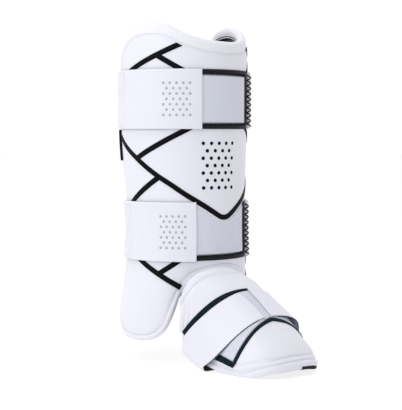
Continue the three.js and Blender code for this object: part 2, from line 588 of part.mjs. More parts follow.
// The foot strap: one band whose ends grip the top of the loop panel, and which passes down both sides
// of the foot guard and under the arch of the shoe. Its side towards +X is loose.
function buildFootStrap() {
  const lines = spread(0, 1, 5);
  const steps = 15;
  const low = 0.985;
  const across = (side, out) => {
    const loose = side > 0 ? STRAP_LOOSE * Math.sin(Math.PI * side) ** 2 : 0;
    const rear = footLine("ankle", side) + FOOT_LINE / 2 + FOOT_SEAM;
    return lines.map((share) => {
      const arch = THREE.MathUtils.lerp(footLine("strap", side), rear, share);
      return onFoot(arch, side, FOOT_STRAP_LAYER + loose + out);
    });
  };
  const climb = (from, to, out) => spread(from, to, steps).map((side) => across(side, out));
  const under = (side, out) => {
    const edge = across(side * low, 0);
    const tuck = (inwards, part, turn) =>
      edge.map((p, i) => {
        const drop = part * THREE.MathUtils.lerp(STRAP_TUCK, STRAP_REAR_TUCK, lines[i]);
        const x = p.x * inwards + side * out * Math.cos(radians(turn));
        const z = Math.max(p.z - drop, STRAP_FLOOR) - out * Math.sin(radians(turn));
        return new THREE.Vector3(x, p.y, z);
      });
    return [tuck(1, 0.45, 0), tuck(0.985, 0.8, 45), tuck(0.93, 1, 90)];
  };
  const flat = (share, out) => {
    const right = under(1, out).at(-1);
    const left = under(-1, out).at(-1);
    return right.map((p, i) => p.clone().lerp(left[i], share));
  };
  const loop = (out) => [
    ...climb(sideAt(FOOT_STRAP_ENDS[0]), low, out),
    ...under(1, out),
    flat(0.25, out),
    flat(0.5, out),
    flat(0.75, out),
    ...under(-1, out).reverse(),
    ...climb(-low, sideAt(FOOT_STRAP_ENDS[1]), out),
  ];
  add("foot_strap", wallBetween(loop(STRAP_WALL), loop(0)), MATERIALS.tab);
}

// The hidden tab that joins the foot guard to the inside of the shell over the instep
function buildAnkleTab() {
  const liningDepth = SHELL_WALL + LINING_WALL + LINING_GAP + GAP;
  const footDepth = FOOT_WALL + LINING_WALL + LINING_GAP + GAP;
  const front = bottomEdge(0);
  const shares = spread(-1, 1, 4);
  const column = (out) => (share) => {
    const angle = 20 * share;
    const side = 0.26 * share;
    const path = new THREE.CatmullRomCurve3([
      onFoot(1.9, side, -footDepth - out),
      onFoot(1.3, side, -footDepth - out),
      onFoot(0.5, side, -footDepth - 3 * GAP - out),
      onShin(angle, front - 0.15 * JOIN_LAP, -liningDepth - 2 * GAP - out),
      onShin(angle, front + 0.15 * JOIN_LAP, -liningDepth - GAP - out),
      onShin(angle, front + 0.6 * JOIN_LAP, -liningDepth - out),
      onShin(angle, front + JOIN_LAP, -liningDepth - out),
    ]);
    return path.getPoints(10);
  };
  add("ankle_tab", wallBetween(shares.map(column(0)), shares.map(column(STRAP_WALL))), MATERIALS.lining);
}

buildShell();
buildTrim();
buildLoopPanels();
buildCalfStrap("upper", UPPER_STRAP_HEIGHT, UPPER_TAB_END);
buildCalfStrap("lower", LOWER_STRAP_HEIGHT, LOWER_TAB_END);
buildFootGuard();
buildFootPanel();
buildFootStrap();
buildAnkleTab();

export default guard;
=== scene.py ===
"""Looks of the batter's leg guard: covers, padding, straps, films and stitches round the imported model."""

import math

import bmesh
import bpy
import numpy as np
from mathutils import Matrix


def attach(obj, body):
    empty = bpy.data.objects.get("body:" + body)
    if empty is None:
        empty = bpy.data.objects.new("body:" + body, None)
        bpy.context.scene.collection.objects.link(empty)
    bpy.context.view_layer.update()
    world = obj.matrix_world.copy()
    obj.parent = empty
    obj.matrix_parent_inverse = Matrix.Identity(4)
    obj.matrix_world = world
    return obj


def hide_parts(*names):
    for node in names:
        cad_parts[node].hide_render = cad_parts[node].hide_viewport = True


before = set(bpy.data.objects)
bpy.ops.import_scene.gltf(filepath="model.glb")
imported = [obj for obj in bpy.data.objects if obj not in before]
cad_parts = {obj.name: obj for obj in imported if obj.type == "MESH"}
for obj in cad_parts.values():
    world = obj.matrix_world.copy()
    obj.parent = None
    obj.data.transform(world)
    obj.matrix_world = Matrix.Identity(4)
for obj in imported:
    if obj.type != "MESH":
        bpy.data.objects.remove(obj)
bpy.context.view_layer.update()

# Sizes in millimetres, as in the part's source
GUARD_HEIGHT = 362.0
SHIN_WIDTH = 140.0
SHIN_DEPTH = 133.0
SHELL_WALL = 9.0
CUFF_HEIGHT = 12.5
CUFF_WALL = 9.6
SHELL_REAR_INNER_SIDE = -127.0
SHELL_REAR_OUTER_SIDE = 115.0
LINING_WALL = 1.5
LINING_GAP = 0.8
LINING_BORDER = 9.0
GAP = 0.5
FOOT_FILM = 1.0
LOOP_WALL = 1.2
BINDING_WIDTH = 5.4
STRAP_WALL = 1.6
STRAP_WIDTH = 61.0
TAB_MARGIN = 0.75
UPPER_STRAP_DROP = 83.4
LOWER_STRAP_LIFT = 40.7
UPPER_TAB_END = -23.2
LOWER_TAB_END = -29.4
TAB_JOIN = -118.0
BAND_END = -94.0
BAND_START = 35.5
BAND_WALL = 1.25
BAND_FOLD = 3.2
BAND_HOLLOW = 8.0
PANEL_LEFT = -60.0
PANEL_RIGHT = 34.5
TRIM_WIDTH = 5.6
FOOT_WIDTH = 108.0
FOOT_REACH = 183.0
INSTEP_HEIGHT = 99.5
FOOT_WALL = 7.0
FOOT_LAP = 0.7
FOOT_STRAP_ENDS = (0.6, -8.4)
STRAP_LOOSE = 5.0
STRAP_FLOOR = 1.9
STRAP_TUCK = 4.4
STRAP_REAR_TUCK = 17.0
LATTICE_SLOPE = 0.53
CHEVRON_MARGIN = 4.0
REAR_LINE_INSET = 3.4
REAR_LINE_LENGTH = 33.4
ANKLE_LINE_MARGIN = 10.5

ANKLE_HEIGHT = INSTEP_HEIGHT - FOOT_LAP
TAB_WIDTH = STRAP_WIDTH + 2 * TAB_MARGIN
UPPER_STRAP_HEIGHT = GUARD_HEIGHT - UPPER_STRAP_DROP
LOWER_STRAP_HEIGHT = ANKLE_HEIGHT + LOWER_STRAP_LIFT
LEG_HOLD = (UPPER_STRAP_HEIGHT + LOWER_STRAP_HEIGHT) / 2
FIRST_LAYER = GAP
SECOND_LAYER = 2 * GAP + LOOP_WALL
FOOT_STRAP_LAYER = 3 * GAP + FOOT_FILM
DEGREES_PER_MM = 360 / (math.pi * ((SHIN_WIDTH + SHIN_DEPTH) / 2) * 0.965)
METRES = 0.001


def table(names, *rows):
    """A table of named columns."""
    columns = zip(*rows)
    return {name: np.array(column) for name, column in zip(names.split(), columns)}


# Sections of the round that the shell follows: height in shares of GUARD_HEIGHT, width of SHIN_WIDTH,
# depth and forward shift of SHIN_DEPTH
SHIN_SECTIONS = table(
    "height width depth forward",
    (0.0, 0.965, 0.98, 0.0),
    (0.06, 0.975, 0.985, 0.0),
    (0.17, 0.98, 0.975, 0.006),
    (0.27, 0.955, 0.955, 0.02),
    (0.38, 0.925, 0.93, 0.03),
    (0.48, 0.94, 0.945, 0.02),
    (0.58, 0.972, 0.975, 0.004),
    (0.67, 0.995, 1.0, 0.0),
    (0.88, 1.0, 1.0, 0.0),
    (0.94, 0.985, 0.985, 0.0),
    (0.975, 0.95, 0.955, 0.0),
    (1.0, 0.905, 0.915, 0.0),
)

# The shell's outline by angle: the top in shares of GUARD_HEIGHT, the bottom in shares of ANKLE_HEIGHT
TOP_EDGE = table(
    "angle height",
    (-127, 0.872),
    (-121, 0.91),
    (-110, 0.95),
    (-95, 0.98),
    (-80, 0.993),
    (-66, 0.994),
    (-52, 0.984),
    (-36, 0.96),
    (-18, 0.944),
    (5, 0.939),
    (20, 0.942),
    (40, 0.957),
    (62, 0.986),
    (80, 0.999),
    (93, 0.998),
    (104, 0.987),
    (115, 0.95),
)
BOTTOM_EDGE = table(
    "angle height",
    (-127, 0.447),
    (-119, 0.348),
    (-108, 0.271),
    (-95, 0.234),
    (-80, 0.227),
    (-68, 0.256),
    (-57, 0.348),
    (-49, 0.513),
    (-44, 0.678),
    (-36, 0.854),
    (-24, 0.953),
    (0, 1.000),
    (22, 0.945),
    (40, 0.813),
    (60, 0.733),
    (90, 0.733),
    (105, 0.813),
    (115, 0.953),
)

# The middle of the big V by angle to either side of the front, in shares of the way from the lower tab's
# upper edge to the upper tab's lower edge
CHEVRON = table(
    "angle height",
    (-4, -0.209),
    (0, -0.218),
    (4, -0.209),
    (10, -0.159),
    (20, -0.065),
    (37, 0.089),
    (53, 0.252),
    (65, 0.368),
    (76, 0.483),
    (86, 0.590),
    (99, 0.717),
    (114, 0.866),
    (127, 0.984),
)

# Arches of the foot guard from its top edge to the toe: reaches in shares of the way from the front of
# the shin's round to FOOT_REACH, heights of INSTEP_HEIGHT, width and sway of FOOT_WIDTH
FOOT_ARCHES = table(
    "number low_reach low_height top_reach top_height width sway round",
    (0, -0.147, 0.5, 0.064, 1.0, 0.92, -0.125, 2.9),
    (1, -0.107, 0.42, 0.202, 0.915, 0.97, -0.06, 2.5),
    (2, -0.021, 0.3, 0.331, 0.812, 0.98, -0.02, 2.15),
    (3, 0.089, 0.18, 0.467, 0.683, 0.99, 0, 2.1),
    (4, 0.230, 0.07, 0.606, 0.548, 0.985, 0, 2.15),
    (5, 0.387, 0.03, 0.717, 0.43, 0.96, 0, 2.3),
    (6, 0.513, 0.02, 0.827, 0.312, 0.93, 0, 2.3),
    (7, 0.599, 0.012, 0.901, 0.21, 0.88, 0, 2.3),
    (8, 0.642, 0.006, 0.950, 0.155, 0.84, 0, 2.3),
    (9, 0.662, 0.003, 0.984, 0.11, 0.8, 0, 2.2),
)
TOE_ARCH = 9
ARCH_LEAN = 1.4
FOOT_LINE = 0.22
FOOT_SEAM = 0.03

# The arches where the foot guard's lines run, by distance to the side
FOOT_LINES = table(
    "side ankle strap toe_cap",
    (0, 1.97, 3.98, 4.09),
    (0.3, 1.91, 4.05, 4.44),
    (0.6, 1.83, 4.18, 5.0),
    (0.8, 1.8, 4.35, 5.47),
    (0.9, 1.81, 4.4, 5.72),
    (1, 1.85, 4.3, 5.95),
)


def smooth(rows, column, at):
    """The column's value where the first column has the value at, on a smooth curve through the rows."""
    keys, values = next(iter(rows.values())), rows[column]
    last = len(keys) - 1
    number = np.arange(last + 1)
    before, after = np.maximum(number - 1, 0), np.minimum(number + 1, last)
    slopes = (values[after] - values[before]) / (keys[after] - keys[before])
    at = np.asarray(at, float)
    i = np.clip(np.searchsorted(keys, at, side="right") - 1, 0, last - 1)
    span = keys[i + 1] - keys[i]
    t = np.clip((at - keys[i]) / span, 0, 1)
    t2, t3 = t**2, t**3
    return (
        (2 * t3 - 3 * t2 + 1) * values[i]
        + (t3 - 2 * t2 + t) * span * slopes[i]
        + (3 * t2 - 2 * t3) * values[i + 1]
        + (t3 - t2) * span * slopes[i + 1]
    )


def lerp(low, high, share):
    return low + (high - low) * share


def outward(surface, a, b, step_a, step_b):
    """The surface's unit normal, pointing outwards."""
    along_a = surface(a + step_a, b) - surface(a - step_a, b)
    along_b = surface(a, b + step_b) - surface(a, b - step_b)
    normal = np.cross(along_a, along_b)
    return normal / np.linalg.norm(normal, axis=-1, keepdims=True)


def shin_surface(angle, height):
    share = height / GUARD_HEIGHT
    width = SHIN_WIDTH / 2 * smooth(SHIN_SECTIONS, "width", share)
    depth = SHIN_DEPTH / 2 * smooth(SHIN_SECTIONS, "depth", share)
    forward = SHIN_DEPTH * smooth(SHIN_SECTIONS, "forward", share)
    turn = np.radians(angle)
    return np.stack([width * np.sin(turn), -forward - depth * np.cos(turn), height + 0 * turn], -1)


def on_shin(angle, height, out):
    angle, height, out = np.broadcast_arrays(angle, height, out)
    return shin_surface(angle, height) + outward(shin_surface, angle, height, 0.5, 0.5) * out[..., None]


def foot_surface(side, back):
    arch = -back
    at = {column: smooth(FOOT_ARCHES, column, arch) for column in FOOT_ARCHES}
    power = 2 / at["round"]
    turn = side * math.pi / 2
    across = np.sign(turn) * np.abs(np.sin(turn)) ** power
    rise = np.abs(np.cos(turn)) ** power
    reach = lerp(at["low_reach"], at["top_reach"], 1 - (1 - rise) ** ARCH_LEAN)
    x = FOOT_WIDTH / 2 * at["width"] * across + FOOT_WIDTH * at["sway"]
    y = -lerp(SHIN_DEPTH / 2, FOOT_REACH, reach)
    return np.stack([x, y, INSTEP_HEIGHT * lerp(at["low_height"], at["top_height"], rise)], -1)


def on_foot(side, arch, out):
    side, arch, out = np.broadcast_arrays(side, arch, out)
    normal_arch = np.clip(arch, 0.05, TOE_ARCH - 0.05)
    normal_side = np.clip(side, -0.97, 0.97)
    normal = outward(foot_surface, normal_side, -normal_arch, 0.02, 0.01)
    return foot_surface(side, -arch) + normal * out[..., None]


def top_edge(angle):
    return GUARD_HEIGHT * smooth(TOP_EDGE, "height", angle)


def bottom_edge(angle):
    return ANKLE_HEIGHT * smooth(BOTTOM_EDGE, "height", angle)


def cuff_seam(angle):
    return top_edge(angle) - CUFF_HEIGHT


def chevron_height(angle):
    share = smooth(CHEVRON, "height", np.abs(angle))
    return lerp(LOWER_STRAP_HEIGHT + TAB_WIDTH / 2, UPPER_STRAP_HEIGHT - TAB_WIDTH / 2, share)


def chevron_slope(angle):
    return (chevron_height(angle + 1) - chevron_height(angle - 1)) / 2 * DEGREES_PER_MM


def foot_line(column, side):
    return smooth(FOOT_LINES, column, np.abs(side))


def side_at(across):
    """The side where the foot guard is so far across from its middle."""
    share = abs(across) / (FOOT_WIDTH / 2)
    return math.copysign(2 * math.asin(share**1.05) / math.pi, across)


def spaced(low, high, count, insets=()):
    """Even steps from low to high along a new last axis, with extra lines at the insets from both ends."""
    low, high = (end[..., None] for end in np.broadcast_arrays(low, high))
    near = np.array((0.0, *insets))
    inner = lerp(low + near[-1], high - near[-1], np.linspace(0, 1, count + 1))
    return np.concatenate([low + near[:-1], inner, high - near[-2::-1]], -1)


def run_of(points, axis=0):
    """How far along its line each point lies."""
    steps = np.linalg.norm(np.diff(points, axis=axis), axis=-1)
    return np.cumsum(np.insert(steps, 0, 0, axis), axis)


def walked(path, at):
    """The points so far along a flat path."""
    run = run_of(path)
    return np.stack([np.interp(at, run, path[:, k]) for k in (0, 1)], -1)


def ways(path, *at):
    """Unit steps along a flat path and to its left."""
    along = np.gradient(path, *at, axis=0)
    along /= np.linalg.norm(along, axis=-1, keepdims=True)
    return along, np.stack([-along[:, 1], along[:, 0]], -1)


def distance_to(points, line):
    """The shortest distance from each point to a line of points."""
    start, way = line[:-1], np.diff(line, axis=0)
    offset = points[..., None, :] - start
    length = np.maximum((way**2).sum(-1), 1e-9)
    t = np.clip((offset * way).sum(-1) / length, 0, 1)
    return np.linalg.norm(offset - t[..., None] * way, axis=-1).min(-1)


def border_of(grid):
    """The closed line round a grid of points."""
    return np.concatenate([grid[:, 0], grid[-1, 1:], grid[-2::-1, -1], grid[0, -2::-1]])


def sheet(place, across, rows):
    """The columns and rows of a sheet on a surface, and each point's distance to the sheet's border."""
    columns, rows = np.broadcast_arrays(across[:, None], rows)
    grid = place(columns, rows, 0)
    return columns, rows, distance_to(grid, border_of(grid))


def roll(distance, radius):
    """The height of a quarter round, from 0 at its edge to 1 where it is a radius away."""
    return np.sqrt(1 - (1 - np.clip(distance / radius, 0, 1)) ** 2)


def ease(value):
    value = np.clip(value, 0, 1)
    return value * value * (3 - 2 * value)


def bell(value, width):
    return np.exp(-((value / width) ** 2))


# Finishes


def linear(code):
    """An sRGB hex colour as linear red, green, blue and alpha."""
    parts = [int(code[i : i + 2], 16) / 255 for i in (1, 3, 5)]
    return (*[p / 12.92 if p <= 0.04045 else ((p + 0.055) / 1.055) ** 2.4 for p in parts], 1.0)


def add_node(tree, kind, inputs=None, links=None, **settings):
    """Adds a node with its settings, its input values and what feeds it: a socket, or a node's first one."""
    node = tree.nodes.new(kind)
    for name, value in settings.items():
        setattr(node, name, value)
    for name, value in (inputs or {}).items():
        node.inputs[name].default_value = value
    for name, source in (links or {}).items():
        tree.links.new(getattr(source, "outputs", (source,))[0], node.inputs[name])
    return node


def per_metre(size):
    """The scale of a pattern whose one repeat has this size in millimetres."""
    return 1 / (size * METRES)


def new_finish(name, roughness, light, dark, drift, **sockets):
    """A material whose colour drifts between two close shades over so many millimetres."""
    material = bpy.data.materials.new(name)
    material.use_nodes = True
    tree = material.node_tree
    shader = tree.nodes["Principled BSDF"]
    shader.inputs["Roughness"].default_value = roughness
    for socket, value in sockets.items():
        shader.inputs[socket.replace("_", " ")].default_value = value
    place = add_node(tree, "ShaderNodeTexCoord").outputs
    values = {"Scale": per_metre(drift), "Detail": 3.0}
    cloud = add_node(tree, "ShaderNodeTexNoise", values, {"Vector": place["Object"]})
    values = {"A": linear(dark), "B": linear(light)}
    shades = add_node(tree, "ShaderNodeMix", values, {"Factor": cloud}, data_type="RGBA")
    tree.links.new(shades.outputs[2], shader.inputs["Base Color"])
    return material, tree, place


def embossed(tree, pattern, strength, depth):
    """Lets a pattern raise and sink the surface, by so many millimetres at full strength."""
    values = {"Strength": strength, "Distance": depth * METRES}
    bump = add_node(tree, "ShaderNodeBump", values, {"Height": pattern})
    tree.links.new(bump.outputs[0], tree.nodes["Principled BSDF"].inputs["Normal"])


def cover_leather():
    """Polyurethane synthetic leather, embossed with a fine grain and formed over foam: satin, soft lights."""
    material, tree, place = new_finish(
        "pu_synthetic_leather", 0.46, "#EDEDF6", "#E7E8F1", 45, Specular_IOR_Level=0.4
    )
    vector = {"Vector": place["Object"]}
    # The real grain is about 0.5 mm, drawn at 1.4 mm so that it shows
    grain = add_node(tree, "ShaderNodeTexVoronoi", {"Scale": per_metre(1.4)}, vector, feature="SMOOTH_F1")
    crease = add_node(tree, "ShaderNodeTexNoise", {"Scale": per_metre(9), "Detail": 4.0}, vector)
    both = add_node(tree, "ShaderNodeMath", {}, {0: grain, 1: crease}, operation="ADD")
    embossed(tree, both, 0.35, 0.12)
    return material


def woven(name, light, dark, warp, weft, depth, roughness, sheen):
    """A weave of ribs along the piece and threads across it, each with its spacing in millimetres."""
    material, tree, place = new_finish(
        name, roughness, light, dark, 30, Sheen_Weight=sheen, Specular_IOR_Level=0.25
    )
    threads = {}
    for number, (direction, spacing) in enumerate((("Y", warp), ("X", weft))):
        # One repeat of a wave texture is a twentieth of its scale's unit times two pi
        values = {"Scale": per_metre(spacing) * math.pi / 10, "Distortion": 0.4, "Detail": 1.0}
        vector = {"Vector": place["UV"]}
        wave = add_node(tree, "ShaderNodeTexWave", values, vector, bands_direction=direction)
        threads[number] = wave.outputs["Fac"]
    embossed(tree, add_node(tree, "ShaderNodeMath", {}, threads, operation="ADD"), 0.8, depth)
    return material


def napped(name, light, dark, nap, depth, roughness, sheen):
    """A brushed fabric whose raised fibres make small tufts of this size."""
    material, tree, place = new_finish(
        name, roughness, light, dark, 2.5 * nap, Sheen_Weight=sheen, Specular_IOR_Level=0.2
    )
    values = {"Scale": per_metre(nap), "Detail": 6.0, "Roughness": 0.7}
    embossed(tree, add_node(tree, "ShaderNodeTexNoise", values, {"Vector": place["Object"]}), 1.0, depth)
    return material


def film(name, light, dark, roughness, ripple, gloss=0.35):
    """A smooth polymer sheet with a faint ripple from the mould or the welding."""
    material, tree, place = new_finish(name, roughness, light, dark, 20, Specular_IOR_Level=gloss)
    values = {"Scale": per_metre(4), "Detail": 2.0}
    embossed(tree, add_node(tree, "ShaderNodeTexNoise", values, {"Vector": place["Object"]}), 0.3, ripple)
    return material


COVER = cover_leather()
# Brushed tricot knit: matt, with tufts that catch the light. Real tufts are about 0.4 mm, drawn coarser.
KNIT = napped("brushed_tricot_knit", "#F3F3F9", "#E8E9F2", 1.3, 0.25, 0.85, 0.25)
# Black brushed polyester: soaks up the light
LINING = napped("black_brushed_polyester", "#15161A", "#0B0C0F", 1.5, 0.35, 0.95, 0.08)
# Thermoplastic polyurethane film, welded on: black with a weak, soft shine
BLACK_FILM = film("welded_black_tpu_film", "#090A11", "#05060A", 0.6, 0.05, 0.1)
# The same film on the foot guard, of a greener black
FOOT_BLACK = film("welded_teal_black_tpu_film", "#10252C", "#0A191F", 0.6, 0.05, 0.1)
# Brushed nylon loop: a felt of tiny loops, drawn at 1 mm where they are about 0.3 mm
LOOP = napped("brushed_nylon_loop", "#DEE1EC", "#D2D6E3", 1.0, 0.35, 0.95, 0.3)
# Woven polyester elastic: ribs along it 2.4 mm apart and a weft at 1.3 mm, both coarser than real
ELASTIC = woven("ribbed_woven_elastic", "#F4F5FA", "#E9EAF2", 2.4, 1.3, 0.3, 0.75, 0.1)
# Smooth polyurethane laminate: clean and flat, without the cover's grain
LAMINATE = film("smooth_pu_laminate", "#EBEBF5", "#E6E6F1", 0.45, 0.04)
# Black woven polyester tape: matt, with a fine rib
TAPE = woven("black_woven_tape", "#14151C", "#0C0D12", 1.6, 1.2, 0.2, 0.7, 0.05)
# Black moulded nylon hook sheet and the knitted backing under the straps: matt and rough
HOOK = napped("black_moulded_hook", "#17181C", "#0D0E11", 1.2, 0.3, 0.8, 0.0)
# Bonded polyester thread: pale, slightly shiny
PALE_THREAD = film("bonded_pale_polyester_thread", "#E4E4EE", "#D4D5E0", 0.5, 0.02)
# Grey moulded nylon hooks on the foot strap's inner face: matt and rough, their grey drifting between a light
# and a dark shade as painted uneven light and shade
HOOK_FACE = napped("grey_moulded_hook_face", "#B4B7C2", "#8B8E99", 1.6, 0.3, 0.85, 0.1)
# Grey silicone rubber, printed in dots for the fingers: satin
GRIP = film("grey_silicone_rubber", "#B9BAC4", "#ADAEB9", 0.55, 0.03)
# Bonded polyester thread: black, hardly shiny
DARK_THREAD = film("bonded_black_polyester_thread", "#14151D", "#0E0F16", 0.5, 0.02, 0.15)


# Meshes


def to_frame(points):
    """Millimetres above the ground to the frame's metres."""
    return (np.asarray(points, float) - (0, 0, LEG_HOLD)) * METRES


def new_object(name, data):
    """An object in the scene with this data."""
    thing = bpy.data.objects.new(name, data)
    bpy.context.scene.collection.objects.link(thing)
    return thing


def place_mesh(name, points, faces, finishes, skins, uv):
    """A named object with its place in its mesh."""
    mesh = bpy.data.meshes.new(name)
    mesh.from_pydata(to_frame(points).tolist(), [], faces)
    for finish in finishes:
        mesh.materials.append(finish)
    mesh.polygons.foreach_set("material_index", skins)
    corners = np.empty(len(mesh.loops), np.int32)
    mesh.loops.foreach_get("vertex_index", corners)
    mesh.uv_layers.new(name="UVMap").data.foreach_set("uv", (uv[corners] * METRES).ravel())
    mesh.polygons.foreach_set("use_smooth", [True] * len(mesh.polygons))
    shape = bmesh.new()
    shape.from_mesh(mesh)
    bmesh.ops.remove_doubles(shape, verts=shape.verts, dist=0.00001)
    shape.to_mesh(mesh)
    shape.free()
    return new_object(name, mesh)


def wall_between(name, outside, inside, finishes, under_skin=0):
    """A closed wall between two grids of points. The underside may have finishes of its own, face by face."""
    columns, rows = outside.shape[:2]
    number = np.arange(columns * rows).reshape(columns, rows)
    shift = columns * rows

    def quads(a, b, c, d):
        return np.stack([a, b, c, d], -1).reshape(-1, 4)

    west, east, first, last = number[:-1], number[1:], number[0], number[-1]
    top = quads(west[:, :-1], east[:, :-1], east[:, 1:], west[:, 1:])
    under = quads(west[:, :-1], west[:, 1:], east[:, 1:], east[:, :-1]) + shift
    sides = (
        quads(west[:, 0] + shift, east[:, 0] + shift, east[:, 0], west[:, 0]),
        quads(west[:, -1], east[:, -1], east[:, -1] + shift, west[:, -1] + shift),
        quads(first[:-1], first[1:], first[1:] + shift, first[:-1] + shift),
        quads(last[:-1] + shift, last[1:] + shift, last[1:], last[:-1]),
    )
    faces = np.concatenate([top, under, *sides])
    skins = np.zeros(len(faces), int)
    skins[len(top) : len(top) + len(under)] = np.broadcast_to(under_skin, (columns - 1, rows - 1)).ravel()
    up = run_of(outside, 1)
    along = np.broadcast_to(run_of(outside[:, rows // 2])[:, None], up.shape)
    grid = np.stack([along, up], -1).reshape(-1, 2)
    points = np.concatenate([outside.reshape(-1, 3), inside.reshape(-1, 3)])
    return place_mesh(name, points, faces.tolist(), finishes, skins.tolist(), np.concatenate([grid, grid]))


def laid(name, place, across, rows, low, thick, finishes, edge=None, **options):
    """A sheet laid on a surface, its upper edges rounded by a radius."""
    columns, rows, distance = sheet(place, across, rows)
    outside = place(columns, rows, low + thick * lerp(0.25, 1, roll(distance, edge or thick)))
    return wall_between(name, outside, place(columns, rows, low), finishes, **options)


def keep(piece, slot, *nodes):
    """Hides the solids that the piece stands for and makes it move with the guard. Its slot is not used."""
    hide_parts(*nodes)
    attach(piece, "root")
    return piece


# Camera, floor and light

VIEW_AZIMUTH = math.radians(-40.791)
VIEW_ELEVATION = math.radians(3.286)
VIEW_DISTANCE = 1439.69
VIEW_TARGET = np.array((70.91, 53.69, -49.91))
VIEW_LENS = 107.904
FLOOR_HALF = 12.0  # metres
FLOOR_GLOW = 0.84  # the paper is lit from below too, so that shadows on it stay faint

# Soft boxes: where each one stands, its width in metres and its power in watts
LAMPS = (
    ((-2.0, -0.1, 1.1), 1.5, 16.0),
    ((-0.7, -0.5, 2.5), 1.2, 24.0),
    ((1.5, 1.6, 1.4), 1.4, 4.0),
)
ROOM_LIGHT = 0.43  # in front of the guard, where the room is dimmer
PAPER_LIGHT = 1.03  # behind it, from the white paper


def aim(thing, place, target=(0.0, 0.0, 0.0)):
    """Puts a camera or a lamp in its place and turns it to a target."""
    thing.location = place
    goal = thing.location.copy()
    goal[:] = target
    thing.rotation_euler = (thing.location - goal).to_track_quat("Z", "Y").to_euler()


def build_camera():
    level = math.cos(VIEW_ELEVATION)
    back = (math.sin(VIEW_AZIMUTH) * level, -math.cos(VIEW_AZIMUTH) * level, math.sin(VIEW_ELEVATION))
    camera = new_object("camera", bpy.data.cameras.new("camera"))
    camera.data.lens = VIEW_LENS
    camera.data.clip_end = 50
    aim(camera, (VIEW_TARGET + np.array(back) * VIEW_DISTANCE) * METRES, VIEW_TARGET * METRES)
    bpy.context.scene.camera = camera


def build_floor():
    """Matt white paper under and behind the guard."""
    mesh = bpy.data.meshes.new("floor")
    corners = [(x * FLOOR_HALF, y * FLOOR_HALF) for x, y in ((-1, -1), (1, -1), (1, 1), (-1, 1))]
    mesh.from_pydata([(x, y, -LEG_HOLD * METRES) for x, y in corners], [], [(0, 1, 2, 3)])
    glow = {"Emission_Color": (1.0, 1.0, 1.0, 1.0), "Emission_Strength": FLOOR_GLOW}
    paper = new_finish("matt_white_paper", 0.9, "#7C7C7E", "#79797B", 400, Specular_IOR_Level=0.1, **glow)
    mesh.materials.append(paper[0])
    new_object("floor", mesh)


def build_light():
    world = bpy.data.worlds.new("studio")
    world.use_nodes = True
    tree = world.node_tree
    sky = tree.nodes["Background"]
    sky.inputs["Color"].default_value = (1.0, 1.0, 1.0, 1.0)
    direction = add_node(tree, "ShaderNodeTexCoord").outputs["Generated"]
    behind = (-math.sin(VIEW_AZIMUTH), math.cos(VIEW_AZIMUTH), 0.0)
    facing = add_node(tree, "ShaderNodeVectorMath", {1: behind}, {0: direction}, operation="DOT_PRODUCT")
    values = {"From Min": -0.3, "From Max": 0.8, "To Min": ROOM_LIGHT, "To Max": PAPER_LIGHT}
    links = {"Value": facing.outputs["Value"]}
    level = add_node(tree, "ShaderNodeMapRange", values, links, interpolation_type="SMOOTHSTEP")
    tree.links.new(level.outputs["Result"], sky.inputs["Strength"])
    bpy.context.scene.world = world
    for number, (place, width, power) in enumerate(LAMPS):
        lamp = new_object(f"soft_box_{number + 1}", bpy.data.lights.new("soft_box", "AREA"))
        lamp.data.size = width
        lamp.data.energy = power
        aim(lamp, place)
    bpy.context.scene.view_settings.view_transform = "Standard"


build_camera()
build_floor()
build_light()

# Shell, cuff and lining

SHELL_ENDS = (SHELL_REAR_INNER_SIDE, SHELL_REAR_OUTER_SIDE)
RIM = 6.4  # from the shell's edge to the seam beside it
RIM_ROUND = 3.4
SEAM_DEPTH = 1.3
SEAM_WIDTH = 1.1
SEAM_DIP = 0.8  # how far the shell rounds off into the cuff's seam
SEAM_ROUND = 2.2
CROWN = 0.4  # how far the foam stands above its edges
CROWN_REACH = 9.0  # over this far from the rim's seam, and less far from the cuff's
CROWN_TOP = 6.0
CUFF_PINCH = 0.86  # the cuff's thickness at the seam, as a share of its wall
CUFF_LINE = 2.6  # from the seam up to the pale thread on the cuff's inside
CUFF_TURN = 0.42  # how far up its inside the cuff is faced with the black lining
FLAP_FLARE = 5.5  # how far the ankle flap's low rear corner swings out
FLAP_TOP = 115.0  # and the height where the flap starts to
FLAP_START = 62.0  # degrees from the front to the left
FLAP_TURN = 35.0
WAVE_HEIGHT = 0.16  # of the cover's unevenness
BOTTOM_WAVES = 110.0  # the cover is uneven below this height, where it bends with the ankle
WAVE_FADE = 30.0
QUILT = 18.0  # from one quilted channel of the lining to the next
QUILT_LOW = 0.35  # the lining's padding in a channel's seam, as a share
LINING_ROUND = 3.0
EDGE_LINES = (0.12, 0.5, 1.1, 1.9, 2.7, 3.6, 4.5, 5.2, 5.8, 6.4, 7.0, 7.7, 8.6, 10.0, 12.0)
CUFF_EDGE_LINES = (0.3, 0.9, 1.8, 3.0, 4.4)


def seam_beside(distance, inset, depth, width):
    """The groove that a line of stitches draws into the foam."""
    return -depth * bell(distance - inset, width)


def foam_wave(along, up):
    """The slight unevenness of a cover drawn over foam, in millimetres."""
    waves = np.sin(along / 9.1 + 1.7 * np.sin(up / 13.3)) + np.sin(up / 7.7 + 1.3 * np.sin(along / 11.9))
    return WAVE_HEIGHT * waves


def flare(angle, height):
    """How far the ankle flap swings out from the round of the shin, in millimetres."""
    return FLAP_FLARE * ease((FLAP_TOP - height) / FLAP_TOP) * ease((-angle - FLAP_START) / FLAP_TURN)


